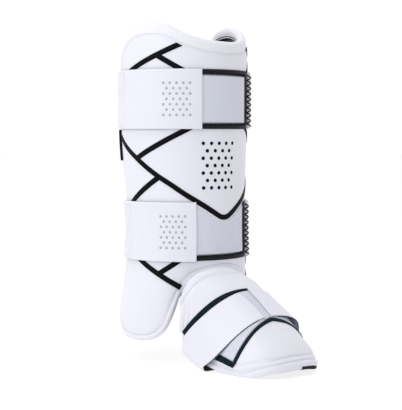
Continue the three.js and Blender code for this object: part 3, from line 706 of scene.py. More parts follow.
def build_shell():
    across = spaced(*SHELL_ENDS, 96, np.array(EDGE_LINES) * DEGREES_PER_MM)
    rows = spaced(bottom_edge(across), cuff_seam(across) - GAP, 90, EDGE_LINES)
    columns = across[:, None]
    grid = on_shin(columns, rows, 0)
    edge = distance_to(grid, np.concatenate([grid[0, ::-1], grid[1:, 0], grid[-1, 1:]]))
    seam = distance_to(grid, grid[:, -1])
    pinch = SHELL_WALL / 2 * (1 - roll(edge, RIM_ROUND))
    crown = CROWN * ease((edge - RIM) / CROWN_REACH) * ease(seam / CROWN_TOP)
    crown += foam_wave(columns / DEGREES_PER_MM, rows) * ease((BOTTOM_WAVES - rows) / WAVE_FADE)
    relief = crown + seam_beside(edge, RIM, SEAM_DEPTH, SEAM_WIDTH) + flare(columns, rows)
    outside = on_shin(columns, rows, relief - pinch - SEAM_DIP * (1 - roll(seam, SEAM_ROUND)))
    inside = on_shin(columns, rows, -SHELL_WALL + pinch + flare(columns, rows))
    shell = wall_between("shell_cover", outside, inside, (COVER, LINING), under_skin=1)
    keep(shell, "cover", "shin_shell")


def build_cuff():
    columns = spaced(*SHELL_ENDS, 110, np.array(CUFF_EDGE_LINES) * DEGREES_PER_MM)[:, None]
    shares = (1 - np.cos(np.linspace(0, math.pi, 27))) / 2
    rows = lerp(cuff_seam(columns) - GAP, top_edge(columns), shares)
    grid = on_shin(columns, rows, 0)
    edge = distance_to(grid, np.concatenate([grid[0], grid[1:, -1], grid[-1, -2::-1]]))
    half = CUFF_WALL / 2 * roll(edge, CUFF_HEIGHT / 2) ** 0.85
    half = half * lerp(CUFF_PINCH, 1, roll(distance_to(grid, grid[:, 0]), 3.0))
    outside, inside = (on_shin(columns, rows, -SHELL_WALL / 2 + way * half) for way in (1, -1))
    faced = (shares[1:] < CUFF_TURN).astype(int)
    cuff = wall_between("rolled_cuff", outside, inside, (KNIT, LINING), under_skin=faced)
    keep(cuff, "cuff", "top_cuff")


def build_lining(name, node, place, across, rows, wall, puff=1.0):
    """A thin padded sheet on the inside of a wall of foam."""
    columns, rows, edge = sheet(place, across, rows)
    depth = wall + LINING_GAP + LINING_WALL * roll(edge, LINING_ROUND) * puff
    outside = place(columns, rows, -wall - 0.1)
    lining = wall_between(name, outside, place(columns, rows, -depth), (LINING,))
    keep(lining, "lining", node)


def build_shin_lining():
    border = LINING_BORDER * DEGREES_PER_MM
    across = spaced(SHELL_ENDS[0] + border, SHELL_ENDS[1] - border, 72)
    rows = spaced(bottom_edge(across) + LINING_BORDER, cuff_seam(across) - LINING_BORDER / 2, 60)
    puff = lerp(QUILT_LOW, 1, np.abs(np.sin(math.pi * rows / QUILT)) ** 0.5)
    build_lining("quilted_lining", "shin_lining", on_shin, across, rows, SHELL_WALL, puff)


build_shell()
build_cuff()
build_shin_lining()

# Straps, loop panels and their bindings

SHEET_EDGE = (0.15, 0.5, 1.1, 1.8)
SHEET_TURN = np.array(SHEET_EDGE) * DEGREES_PER_MM
STRAPS = (("upper", UPPER_STRAP_HEIGHT, UPPER_TAB_END), ("lower", LOWER_STRAP_HEIGHT, LOWER_TAB_END))
PANEL_LOW = 0.1  # from the shell up to a loop panel's underside
BAND_TUCK = 3.0  # degrees between the shell's rear edges and the ends of the band's free way
FOLD_TURN = 4.0  # degrees of the band that are folded double at its start


def build_panels():
    inset = BINDING_WIDTH + GAP
    turn = inset * DEGREES_PER_MM
    across = spaced(PANEL_LEFT + turn, PANEL_RIGHT - turn, 70, SHEET_TURN)
    clearance = (TRIM_WIDTH / 2 + 2.5 * GAP) * np.hypot(1, chevron_slope(across))
    under_v = chevron_height(across) - clearance - 2 * GAP
    lower_top = np.minimum(LOWER_STRAP_HEIGHT + STRAP_WIDTH / 2, under_v)
    for prefix, low, high, count in (
        ("upper", UPPER_STRAP_HEIGHT - TAB_WIDTH / 2, UPPER_STRAP_HEIGHT + TAB_WIDTH / 2 - inset, 30),
        ("lower", LOWER_STRAP_HEIGHT - STRAP_WIDTH / 2, lower_top, 34),
    ):
        rows = spaced(low + inset, high, count, SHEET_EDGE)
        panel = laid(f"{prefix}_loop", on_shin, across, rows, PANEL_LOW, FIRST_LAYER + LOOP_WALL, (LOOP,))
        keep(panel, "loop", f"{prefix}_loop_panel")


def build_calf_strap(prefix, middle, tab_end):
    rear = (SHELL_REAR_OUTER_SIDE + BAND_TUCK, SHELL_REAR_INNER_SIDE + 360 - BAND_TUCK)
    start = spaced(BAND_START, BAND_START + 1.5 * FOLD_TURN, 8, SHEET_TURN[:2])
    rest = spaced(BAND_START + 2 * FOLD_TURN, BAND_END + 360, 130, SHEET_TURN)
    across = np.unique(np.concatenate([start, rest]))
    rows = spaced(middle - STRAP_WIDTH / 2, middle + STRAP_WIDTH / 2, 14, SHEET_EDGE)
    columns, rows, edge = sheet(on_shin, across, rows)
    thick = lerp(BAND_FOLD, BAND_WALL, ease((columns - BAND_START - FOLD_TURN) / (FOLD_TURN / 2)))
    thick = thick * lerp(0.3, 1, roll(edge, 1.2))
    t = np.clip((columns - rear[0]) / (rear[1] - rear[0]), 0, 1)
    low = lerp(SECOND_LAYER, FIRST_LAYER, ease(t)) - BAND_HOLLOW * np.sin(math.pi * t) ** 2
    outside, inside = (on_shin(columns, rows, out) for out in (low + thick, low))
    band = wall_between(f"{prefix}_elastic", outside, inside, (ELASTIC,))
    keep(band, "elastic", f"{prefix}_strap_band")

    across = spaced(TAB_JOIN, tab_end, 90, SHEET_TURN)
    rows = spaced(middle - TAB_WIDTH / 2, middle + TAB_WIDTH / 2, 24, SHEET_EDGE)
    layers = (SECOND_LAYER, STRAP_WALL, (LAMINATE, HOOK))
    tab = laid(f"{prefix}_tab", on_shin, across, rows, *layers, edge=0.9, under_skin=1)
    keep(tab, "tab", f"{prefix}_strap_tab")


build_panels()
for strap in STRAPS:
    build_calf_strap(*strap)

# Foot guard

FOOT_EDGE = (0.15, 0.5, 1.1, 1.9, 2.8, 3.8, 4.8, 5.6, 6.4, 7.2, 8.0, 9.0, 10.5, 11.8, 13.0, 14.2)
ARCH_LENGTH = 17.0  # about this many millimetres from one arch to the next
HALF_SPAN = 92.0  # from the middle of an arch to its low point
TOE_TRIM = 0.98  # how much of the way to the last arch the cover reaches
TOE_START = 4  # the arch where the toe cap begins
TOE_ROUND = 6.5  # how far the cover's edge rounds off there, and elsewhere
PAD_ROUND = 3.0
CORNER_ROUND = 0.17  # how far the pad's rear corners are rounded off, as a share of its side
CORNER_REACH = 1.5  # arches
# Stitched seams: how far from the pad's top edge or from its lower edge, how deep and how wide
TOP_SEAM = (6.6, 1.3, 1.2)
RIM_SEAMS = ((7.4, 1.4, 1.1), (12.6, 0.9, 0.9))
RIM_SWELL = 0.6  # how far the foam stands out between the rim and its first seam
TOE_SINK = 2.2  # how far the toe's rim sags below the moulded foam
SIDE_SAG = 3.4  # how much further it sags near both sides
SAG_SIDE = 0.86
SAG_WIDTH = 0.22
SINK_REACH = 18.0
TOE_CLEARANCE = 0.8  # the sagging rim comes no nearer to the ground
TOE_SHADE_LIP_HANG = 2.4  # how far the black lip shows below the toe's rim: partly the lining seen there, partly painted shadow under the rim
SHADE_LIP_SIDES = (0.05, 0.95)
SHADE_LIP_DEPTHS = (2.0, 5.5)  # its two layers, below the cover's face
GUSSET_HALF = 0.56  # the gusset's half width, in sides of the foot guard and in degrees of the shin
GUSSET_TURN = 43.0
PANEL_STAND = 0.9  # the foot guard's loop panel and films stand this far above its cover
PANEL_SIDE = 0.8  # where the loop panel ends
LOW_LINE = 0.09  # the width of the film at that end, as a share of the side
LOW_LINE_TOP = 4.3  # the arch where that film begins
STRAP_STAND = 1.0  # the strap's underside above the cover
LOW_SIDE = 0.985  # where the strap leaves the cover to turn under the shoe
LOW_LOOSE = 3.0  # how far its front edge stands off near there
END_SKEW = (-8.6, -3.0)  # how far the rear corner of the strap's left and right end is set to the left
SKEW_SIDE = 0.45  # no further from the middle than here
FOOT_STRAP_WIDTH = 42.0
HOOK_WALL = 0.75
HOOK_INSET = 0.6  # the cover is narrower than the hook sheet by this much on both edges
BARE_SECTIONS = 54  # the sections of the strap's right part whose inner face shows its hooks


def build_foot_pad():
    sides = spaced(-1, 1, 120, np.array(FOOT_EDGE) / HALF_SPAN)
    rows = spaced(0, TOE_ARCH + 0 * sides, 90, np.array(FOOT_EDGE) / ARCH_LENGTH)[:, ::-1] * TOE_TRIM
    columns = sides[:, None] * (1 - CORNER_ROUND * ease(1 - rows / CORNER_REACH))
    grid = on_foot(columns, rows, 0)
    edge = distance_to(grid, border_of(grid))
    top = distance_to(grid, grid[:, -1])
    low = distance_to(grid, np.concatenate([grid[0, ::-1], grid[1:, 0], grid[-1, 1:]]))
    toe = ease((rows - TOE_START) / 3)
    pinch = FOOT_WALL / 2 * (1 - roll(edge, lerp(PAD_ROUND, TOE_ROUND, toe)))
    relief = seam_beside(top, *TOP_SEAM) + foam_wave(columns * HALF_SPAN, rows * ARCH_LENGTH)
    relief += seam_beside(low, *RIM_SEAMS[0]) + seam_beside(low, *RIM_SEAMS[1])
    relief += toe * RIM_SWELL * np.sin(math.pi * np.clip(low / RIM_SEAMS[0][0] - 0.3, 0, 1)) ** 0.7
    outside = on_foot(columns, rows, relief - pinch)
    inside = on_foot(columns, rows, -FOOT_WALL + pinch)
    sag = TOE_SINK + SIDE_SAG * bell(np.abs(columns) - SAG_SIDE, SAG_WIDTH)
    sink = sag * toe * ease(1 - low / SINK_REACH)
    for skin in (outside, inside):
        skin[..., 2] = np.maximum(skin[..., 2] - sink, np.minimum(skin[..., 2], TOE_CLEARANCE))
    pad = wall_between("foot_cover", outside, inside, (COVER, LINING), under_skin=1)
    keep(pad, "cover", "foot_pad")
    rows = spaced(1.2, TOE_ARCH - 0.6, 40)[::-1]
    build_lining("foot_lining_sheet", "foot_lining", on_foot, spaced(-0.93, 0.93, 40), rows, FOOT_WALL)


def build_toe_shade_lip():
    """A black lip that hangs a little below the toe's rim: partly the lining seen there, partly painted
    shadow under the rim.
    """
    first, last = SHADE_LIP_SIDES
    sides = spaced(first, last, 60)[:, None]
    rounds = np.radians(np.linspace(0, 180, 9))
    outer, inner = (on_foot(sides, TOE_TRIM * TOE_ARCH, -depth) for depth in SHADE_LIP_DEPTHS)
    for lip in (outer, inner):
        lip[..., 2] = np.maximum(lip[..., 2] - TOE_SINK, TOE_CLEARANCE)
    inside = lerp(outer, inner, ((1 - np.cos(rounds)) / 2)[:, None])
    outside = inside.copy()
    hang = TOE_SHADE_LIP_HANG * ease((sides - first) / 0.55) * ease((last - sides) / 0.3)
    outside[..., 2] -= hang * np.sin(rounds) ** 0.7
    inside[..., 2] += 1.5
    keep(wall_between("toe_lining_and_shade_lip", outside[:, ::-1], inside[:, ::-1], (LINING,)), "lining", "foot_lining")


def build_gusset():
    """Soft knit that closes the gap between the shell's lower edge and the foot guard's top edge."""
    across = np.linspace(-1, 1, 60)
    steps = np.linspace(0, 1, 13)[:, None]
    ankle = on_foot(GUSSET_HALF * across, 0.32, -3.4)
    shin = on_shin(GUSSET_TURN * across, bottom_edge(GUSSET_TURN * across) + 5, -5.2)
    front = lerp(ankle[:, None], shin[:, None], steps) + np.sin(math.pi * steps) * (0, -1.2, 0)
    keep(wall_between("instep_gusset", front, front + (0, 1.6, 0), (KNIT,)), "lining", "ankle_tab")


def build_foot_panel():
    """The loop panel on the foot guard and the film lines round it."""
    near = np.array(SHEET_EDGE[:3])

    def toe_cap(side):
        return foot_line("toe_cap", side) - FOOT_LINE / 2

    def ankle_line(side):
        return foot_line("ankle", side) + FOOT_LINE / 2

    def lay(name, node, ends, steps, low, high, count, finish=FOOT_BLACK, slot="trim"):
        sides = spaced(*ends, steps, near / HALF_SPAN)
        rows = spaced(low(sides), high(sides), count, near / ARCH_LENGTH)[:, ::-1]
        keep(laid(name, on_foot, sides, rows, 0.05, PANEL_STAND, (finish,), edge=0.8), slot, node)

    def loop_top(side):
        return ankle_line(side) + FOOT_SEAM

    def low_top(side):
        return LOW_LINE_TOP

    def loop_toe(side):
        return toe_cap(side) - FOOT_SEAM

    def front_toe(side):
        return toe_cap(side) + 1.15 * FOOT_LINE

    def rear_top(side):
        return ankle_line(side) - FOOT_LINE * lerp(0.75, 1.3, ease(-side / 0.45))

    start, end = PANEL_SIDE + 0.012, PANEL_SIDE + LOW_LINE
    lay("foot_loop", "foot_loop_panel", (-PANEL_SIDE, PANEL_SIDE), 70, loop_top, loop_toe, 26, LOOP, "loop")
    lay("foot_line_front", "foot_trim_front", (-end, end), 90, toe_cap, front_toe, 4)
    lay("foot_line_rear", "foot_trim_rear", (-0.97, 0), 60, rear_top, ankle_line, 4)
    for name, ends in (("left", (-end, -start)), ("right", (start, end))):
        lay(f"foot_line_low_{name}", f"foot_trim_low_{name}", ends, 4, low_top, loop_toe, 12)


# Each section of the strap's turn under the shoe: how far in, how far down and how far round it lies
STRAP_TURNS = (
    (1.0, 0.22, 0),
    (1.0, 0.45, 0),
    (0.995, 0.65, 20),
    (0.985, 0.8, 45),
    (0.962, 0.93, 70),
    (0.93, 1.0, 90),
)


def strap_sections(shares, steps):
    """Sections of the foot strap from one end over the foot, under the shoe and back, as functions of
    how far the points stand out."""

    def across(side, out):
        loose = STRAP_LOOSE * math.sin(math.pi * side) ** 2 * (1 - shares) ** 1.4 if side > 0 else 0
        loose = loose + LOW_LOOSE * ease((abs(side) - 0.68) / 0.3) * (1 - shares) ** 2
        rear = foot_line("ankle", side) + FOOT_LINE / 2 + FOOT_SEAM
        side = side + END_SKEW[int(side > 0)] / HALF_SPAN * shares * max(0, 1 - abs(side) / SKEW_SIDE)
        arch = lerp(foot_line("strap", side), rear, shares)
        stand = lerp(STRAP_STAND, FOOT_STRAP_LAYER, ease((np.abs(side) - 0.55) / 0.3))
        return on_foot(side, arch, stand + loose + out)

    def tucked(side, inwards, part, turn, out):
        edge = across(side * LOW_SIDE, 0)
        drop = part * lerp(STRAP_TUCK, STRAP_REAR_TUCK, shares)
        turn = math.radians(turn)
        sideways = edge[:, 0] * inwards + side * out * math.cos(turn)
        height = np.maximum(edge[:, 2] - drop, STRAP_FLOOR) - out * math.sin(turn)
        return np.stack([sideways, edge[:, 1], height], -1)

    def flat(share, out):
        right, left = (tucked(way, *STRAP_TURNS[-1], out) for way in (1, -1))
        return lerp(right, left, share)

    path = [(across, (side,)) for side in spaced(side_at(FOOT_STRAP_ENDS[0]), LOW_SIDE, steps)]
    path += [(tucked, (1, *turn)) for turn in STRAP_TURNS]
    path += [(flat, (share,)) for share in np.linspace(0, 1, 14)[1:-1]]
    path += [(tucked, (-1, *turn)) for turn in STRAP_TURNS[::-1]]
    return path + [(across, (side,)) for side in spaced(-LOW_SIDE, side_at(FOOT_STRAP_ENDS[1]), steps)]


def build_foot_strap():
    """The strap's smooth cover on a wider hook sheet, which ends six sections before the cover does."""
    near = np.array((0.15, 0.5, 1.1)) / FOOT_STRAP_WIDTH
    for name, inset, short, low, thick, finish in (
        ("foot_strap_hook", 0.0, 6, 0.0, HOOK_WALL, HOOK),
        ("foot_strap_cover", HOOK_INSET, 0, HOOK_WALL, STRAP_WALL - HOOK_WALL, LAMINATE),
    ):
        shares = spaced(inset / FOOT_STRAP_WIDTH, 1 - inset / FOOT_STRAP_WIDTH, 20, near)
        path = strap_sections(shares, 60)
        path = path[short : len(path) - short]
        bare = (np.arange(len(path) - 1) < BARE_SECTIONS)[:, None] & (finish is HOOK)
        edge = np.minimum(shares - shares[0], shares[-1] - shares) * FOOT_STRAP_WIDTH
        rise = lerp(0.3, 1, roll(edge, 0.7))
        outside = np.stack([make(*where, low + thick * rise) for make, where in path])
        inside = np.stack([make(*where, low) for make, where in path])
        keep(wall_between(name, outside, inside, (finish, HOOK_FACE), under_skin=bare), "tab", "foot_strap")


build_foot_pad()
build_toe_shade_lip()
build_gusset()
build_foot_panel()
build_foot_strap()

# Black film lines on the shin. Their paths are drawn on the unrolled shin, in millimetres round it and up.

FILM_STAND = 1.1  # the film's upper face above the shell
BRANCH_SINK = 0.04  # how much lower a branch's face is than the line that it leaves
REAR_LINE_STAND = 2.7  # the line at the shell's rear edge is folded double over itself
FILM_ROUND = 0.5
FILM_EDGE = (0.1, 0.3, 0.7)
BRANCH_LAP = 0.5  # how far a branch runs under the line that it leaves
TAB_LAP = 1.5  # how far a line runs under a tab
# Where the lines begin, fork and end, in degrees from the front, and the two forks' shares of their lines
TOP_LONG = (-89.5, -42.6)
TOP_BRANCH = -43.4
UPPER_ARM = (-84.5, -37.3)
LOWER_ARM = (-97, -64.5)
ANKLE_LONG = (-84, -42.6)
ANKLE_BRANCH = -47.8
TOP_FORK, ANKLE_FORK = 0.6, 0.52


def unrolled(angle, height):
    return np.array((angle / DEGREES_PER_MM, height))


def build_film(name, points, slants=(0, 0), stand=FILM_STAND):
    """A film line through points. Each end slants by so many millimetres for each one across."""
    length = run_of(points)[-1]
    at = spaced(0, length, max(4, int(length / 2)), FILM_EDGE)
    middle = walked(points, at)
    along, across = ways(middle, at)
    offsets = spaced(-TRIM_WIDTH / 2, TRIM_WIDTH / 2, 4, FILM_EDGE)
    slide = lerp(*slants, at / length)[:, None] * offsets
    flat = middle[:, None] + across[:, None] * offsets[:, None] + along[:, None] * slide[..., None]
    edge = np.minimum(np.minimum(at, length - at)[:, None], TRIM_WIDTH / 2 - np.abs(offsets))
    angle, height = flat[..., 0] * DEGREES_PER_MM, flat[..., 1]
    outside = on_shin(angle, height, stand * lerp(0.4, 1, roll(edge, FILM_ROUND)))
    line = wall_between(f"film_{name}", outside, on_shin(angle, height, 0), (BLACK_FILM,))
    keep(line, "trim", f"trim_{name}")


def slant(slope, mirror, start, end):
    """How far an end slides for each millimetre across when it is cut along a slope."""
    if slope is None:
        return 0.0
    cut = np.array((1, slope)) * mirror
    along = (end - start) / np.linalg.norm(end - start)
    across = np.array((-along[1], along[0]))
    return float(np.clip(cut @ along / (cut @ across), -3, 3))


def under_tab(end, other):
    """An end beside a tab, carried on along its own line to run under the tab."""
    return end + (end - other) * (2 * GAP + TAB_LAP) / abs(end[1] - other[1])


def fork(point, slope, way):
    """Where a branch starts, above or below a line's middle, under that line's edge."""
    return point + (0, way * (TRIM_WIDTH / 2 - BRANCH_LAP) * math.hypot(1, slope))


def build_films():
    rear_line = TRIM_WIDTH * (1 + LATTICE_SLOPE / 2) + 2 * GAP
    far_end = SHELL_REAR_INNER_SIDE + REAR_LINE_INSET + rear_line * DEGREES_PER_MM
    angles = np.linspace(far_end, SHELL_REAR_OUTER_SIDE - CHEVRON_MARGIN, 300)
    build_film("chevron", np.stack([angles / DEGREES_PER_MM, chevron_height(angles)], -1))

    clear = TAB_WIDTH / 2 + 2 * GAP
    over_upper, under_upper = UPPER_STRAP_HEIGHT + clear, UPPER_STRAP_HEIGHT - clear
    over_lower, under_lower = LOWER_STRAP_HEIGHT + clear, LOWER_STRAP_HEIGHT - clear
    top_end = cuff_seam(TOP_LONG[1]) - TRIM_WIDTH / 2 - GAP
    ankle_end = bottom_edge(ANKLE_LONG[1]) + ANKLE_LINE_MARGIN
    top = unrolled(TOP_LONG[0], over_upper), unrolled(TOP_LONG[1], top_end)
    ankle = unrolled(ANKLE_LONG[0], under_lower), unrolled(ANKLE_LONG[1], ankle_end)
    top_slope, ankle_slope = ((end - start)[1] / (end - start)[0] for start, end in (top, ankle))
    upper_slope, lower_slope = chevron_slope(UPPER_ARM[0]), chevron_slope(LOWER_ARM[1])
    top_fork = fork(lerp(*top, TOP_FORK), top_slope, -1)
    ankle_fork = fork(lerp(*ankle, ANKLE_FORK), ankle_slope, 1)
    upper_fork = fork(unrolled(UPPER_ARM[0], chevron_height(UPPER_ARM[0])), upper_slope, 1)
    lower_fork = fork(unrolled(LOWER_ARM[1], chevron_height(LOWER_ARM[1])), lower_slope, -1)
    top_foot = under_tab(unrolled(TOP_BRANCH, over_upper), top_fork)
    upper_head = under_tab(unrolled(UPPER_ARM[1], under_upper), upper_fork)
    lower_foot = under_tab(unrolled(LOWER_ARM[0], over_lower), lower_fork)
    ankle_head = under_tab(unrolled(ANKLE_BRANCH, under_lower), ankle_fork)
    # Both ends of each line, the slopes along which they are cut and how much lower its face is
    for name, start, end, first_cut, last_cut, sink in (
        ("top_long", under_tab(*top), top[1], 0.0, -LATTICE_SLOPE, 0.0),
        ("top_branch", top_fork, top_foot, top_slope, 0.0, BRANCH_SINK),
        ("upper_arm", upper_fork, upper_head, upper_slope, 0.0, BRANCH_SINK),
        ("lower_arm", lower_foot, lower_fork, 0.0, lower_slope, BRANCH_SINK),
        ("ankle_long", under_tab(*ankle), ankle[1], 0.0, None, 0.0),
        ("ankle_branch", ankle_fork, ankle_head, ankle_slope, 0.0, BRANCH_SINK),
    ):
        for side, mirror in (("left", (1, 1)), ("right", (-1, 1))):
            ends = start * mirror, end * mirror
            slants = [slant(slope, mirror, *ends) for slope in (first_cut, last_cut)]
            build_film(f"{name}_{side}", np.stack(ends), slants, FILM_STAND - sink)
    rear = SHELL_REAR_INNER_SIDE + REAR_LINE_INSET + TRIM_WIDTH / 2 * DEGREES_PER_MM
    head = unrolled(rear, UPPER_STRAP_HEIGHT - TAB_WIDTH / 2 - GAP)
    build_film("rear_edge", np.stack([head - (0, REAR_LINE_LENGTH), head]), stand=REAR_LINE_STAND)


build_films()

# Sewing, grip dots and vents, repeated by Geometry Nodes


def new_group(name, **inputs):
    """A geometry node group with named inputs, its input's sockets and its output node."""
    tree = bpy.data.node_groups.new(name, "GeometryNodeTree")
    tree.interface.new_socket("Geometry", in_out="INPUT", socket_type="NodeSocketGeometry")
    for label, kind in inputs.items():
        tree.interface.new_socket(label, in_out="INPUT", socket_type=f"NodeSocket{kind}")
    tree.interface.new_socket("Geometry", in_out="OUTPUT", socket_type="NodeSocketGeometry")
    return tree, add_node(tree, "NodeGroupInput").outputs, add_node(tree, "NodeGroupOutput")


def finish_group(tree, given, result, geometry):
    """Ends a group with real, smooth geometry in the given finish."""
    real = add_node(tree, "GeometryNodeRealizeInstances", {}, {"Geometry": geometry})
    soft = add_node(tree, "GeometryNodeSetShadeSmooth", {}, {"Geometry": real})
    links = {"Geometry": soft, "Material": given["Finish"]}
    painted = add_node(tree, "GeometryNodeSetMaterial", {}, links)
    tree.links.new(painted.outputs[0], result.inputs[0])
    return tree


def balls_on(tree, points, facing, axis, sizes, segments, rings):
    """Round balls on points, each turned with one axis to a direction and stretched to three sizes."""
    turn = add_node(tree, "FunctionNodeAlignRotationToVector", {}, {"Vector": facing}, axis=axis)
    values = {"Segments": segments, "Rings": rings, "Radius": 0.5}
    ball = add_node(tree, "GeometryNodeMeshUVSphere", values)
    size = add_node(tree, "ShaderNodeCombineXYZ", {}, dict(zip("XYZ", sizes)))
    links = {"Points": points, "Instance": ball, "Rotation": turn, "Scale": size}
    return add_node(tree, "GeometryNodeInstanceOnPoints", {}, links)


def running_stitches():
    """Separate stitches in a row along each path."""
    tree, given, result = new_group(
        "running_stitches", Pitch="Float", Length="Float", Thread="Float", Finish="Material"
    )
    curve = add_node(tree, "GeometryNodeMeshToCurve", {}, {"Mesh": given["Geometry"]})
    links = {"Curve": curve, "Length": given["Pitch"]}
    even = add_node(tree, "GeometryNodeResampleCurve", {}, links, mode="LENGTH")
    tangent = add_node(tree, "GeometryNodeInputTangent")
    sizes = given["Length"], given["Thread"], given["Thread"]
    return finish_group(tree, given, result, balls_on(tree, even, tangent, "X", sizes, 8, 5))


def laid_thread():
    """One round thread that follows each path."""
    tree, given, result = new_group("laid_thread", Thread="Float", Finish="Material")
    curve = add_node(tree, "GeometryNodeMeshToCurve", {}, {"Mesh": given["Geometry"]})
    half = add_node(tree, "ShaderNodeMath", {1: 0.5}, {0: given["Thread"]}, operation="MULTIPLY")
    ring = add_node(tree, "GeometryNodeCurvePrimitiveCircle", {"Resolution": 6}, {"Radius": half})
    links = {"Curve": curve, "Profile Curve": ring}
    tube = add_node(tree, "GeometryNodeCurveToMesh", {"Fill Caps": True}, links)
    return finish_group(tree, given, result, tube)


def domes():
    """A low round dome on each point, turned to the direction stored there."""
    tree, given, result = new_group("domes", Width="Float", Height="Float", Finish="Material")
    facing = add_node(tree, "GeometryNodeInputNamedAttribute", {"Name": "facing"}, data_type="FLOAT_VECTOR")
    sizes = given["Width"], given["Width"], given["Height"]
    return finish_group(tree, given, result, balls_on(tree, given["Geometry"], facing, "Z", sizes, 14, 7))


RUNNING_STITCHES = running_stitches()
LAID_THREAD = laid_thread()
DOMES = domes()


def grown(name, tree, carrier, values):
    """The plain mesh that a node group grows on a carrier."""
    holder = new_object(f"{name}_carrier", carrier)
    modifier = holder.modifiers.new("grown", "NODES")
    modifier.node_group = tree
    for socket in tree.interface.items_tree:
        if socket.in_out == "INPUT" and socket.name in values:
            modifier[socket.identifier] = values[socket.name]
    graph = bpy.context.evaluated_depsgraph_get()
    mesh = bpy.data.meshes.new_from_object(holder.evaluated_get(graph))
    holder.modifiers.clear()
    bpy.data.objects.remove(holder)
    mesh.name = name
    return new_object(name, mesh)


# Real stitches are about 2.5 mm long in 0.4 mm thread, drawn a little coarser so that they show
STITCH = {"Pitch": 3.4 * METRES, "Length": 2.7 * METRES, "Thread": 0.55 * METRES, "Finish": PALE_THREAD}


def sew(name, slot, node, paths, thread=None, finish=DARK_THREAD):
    """Stitches along paths, which are rows of points in millimetres, or one laid thread of a width."""
    points, edges = [], []
    for path in paths:
        first = len(points)
        points += to_frame(path).tolist()
        edges += [(first + k, first + k + 1) for k in range(len(path) - 1)]
    carrier = bpy.data.meshes.new(f"{name}_path")
    carrier.from_pydata(points, edges, [])
    if thread is None:
        piece = grown(name, RUNNING_STITCHES, carrier, STITCH)
    else:
        piece = grown(name, LAID_THREAD, carrier, {"Thread": thread * METRES, "Finish": finish})
    keep(piece, slot, node)


ZIGZAG_WIDTH = 2.8
ZIGZAG_PITCH = 2.6
ZIGZAG_THREAD = 0.7
SEAM_THREAD = 0.15  # how far the shell's stitches stand out of their groove
SEAM_INSET = RIM + 0.1
INNER_THREAD = 1.1  # the thread inside the cuff
OVERCAST_THREAD = 1.6
OVERCAST_PITCH = 2.9
# One overcast stitch round the band's folded end: how far in and how far out, in millimetres
OVERCAST = ((-0.3, 0.5), (-0.3, 1.2), (0.2, 2.3), (1.2, 3.3), (3.4, 3.4))
BOX_ENDS = (3.0, 22.0)  # the box of stitches on a tab: its ends from the tab's join
BOX_INSET = 3.5  # and its sides from the tab's edges
RIM_SUNK = (-0.75, -0.55)  # how deep the stitches of the two seams round the toe lie


def zigzag(corners):
    """Points that swing from side to side of a path between two corners on the unrolled loop panel."""
    path = np.array(corners, float)
    at = np.arange(0, run_of(path)[-1], ZIGZAG_PITCH / 2)
    middle = walked(path, at)
    swing = ZIGZAG_WIDTH / 2 * np.where(np.arange(len(at)) % 2, 1, -1)
    flat = middle + ways(middle)[1] * swing[:, None]
    return on_shin(flat[:, 0] * DEGREES_PER_MM, flat[:, 1], FIRST_LAYER + LOOP_WALL + 0.15)


def sew_shell():
    """Stitches beside the shell's edges and below the cuff, and the pale thread inside it."""
    angles = np.linspace(SHELL_ENDS[0] + 5, SHELL_ENDS[1] - 5, 400)
    edge = np.stack([angles / DEGREES_PER_MM, bottom_edge(angles)], -1)
    line = edge + ways(edge)[1] * SEAM_INSET
    lines = [(line[:, 0] * DEGREES_PER_MM, line[:, 1])]
    for end, inwards in zip(SHELL_ENDS, (1, -1)):
        angle = end + inwards * SEAM_INSET * DEGREES_PER_MM
        lines.append((angle, np.linspace(bottom_edge(angle) + 12, cuff_seam(angle) - 3, 60)))
    sunk = SEAM_THREAD - SEAM_DEPTH
    paths = [on_shin(angle, height, sunk + flare(angle, height)) for angle, height in lines]
    sew("shell_rim_stitches", "cover", "shin_shell", paths)
    angles = np.linspace(SHELL_ENDS[0] + 3, SHELL_ENDS[1] - 3, 400)
    inside = on_shin(angles, cuff_seam(angles) + CUFF_LINE, -(SHELL_WALL + CUFF_WALL) / 2 - 0.2)
    sew("cuff_inner_line", "cuff", "top_cuff", [inside], INNER_THREAD, PALE_THREAD)
    path = on_shin(angles, cuff_seam(angles) - 2.6, 0.22)
    sew("cuff_seam_stitches", "cover", "shin_shell", [path])


def sew_bindings():
    """Dark zigzag over the inner edge of each binding, into the loop panel."""
    west, east = PANEL_LEFT / DEGREES_PER_MM + BINDING_WIDTH, PANEL_RIGHT / DEGREES_PER_MM - BINDING_WIDTH
    clearance = (TRIM_WIDTH / 2 + 2.5 * GAP) * math.hypot(1, chevron_slope(PANEL_RIGHT))
    under_v = min(chevron_height(PANEL_RIGHT) - clearance - 7, LOWER_STRAP_HEIGHT + STRAP_WIDTH / 2 - 2)
    for prefix, low, high, count in (
        ("upper", UPPER_STRAP_HEIGHT - TAB_WIDTH / 2, UPPER_STRAP_HEIGHT + TAB_WIDTH / 2 - BINDING_WIDTH, 4),
        ("lower", LOWER_STRAP_HEIGHT - STRAP_WIDTH / 2, under_v, 3),
    ):
        low = low + BINDING_WIDTH
        corners = ((west, low), (east, low), (east, high), (west, high))[:count]
        paths = [zigzag(side) for side in zip(corners, corners[1:])]
        sew(f"{prefix}_binding_zigzag", "trim", f"{prefix}_panel_binding", paths, ZIGZAG_THREAD)


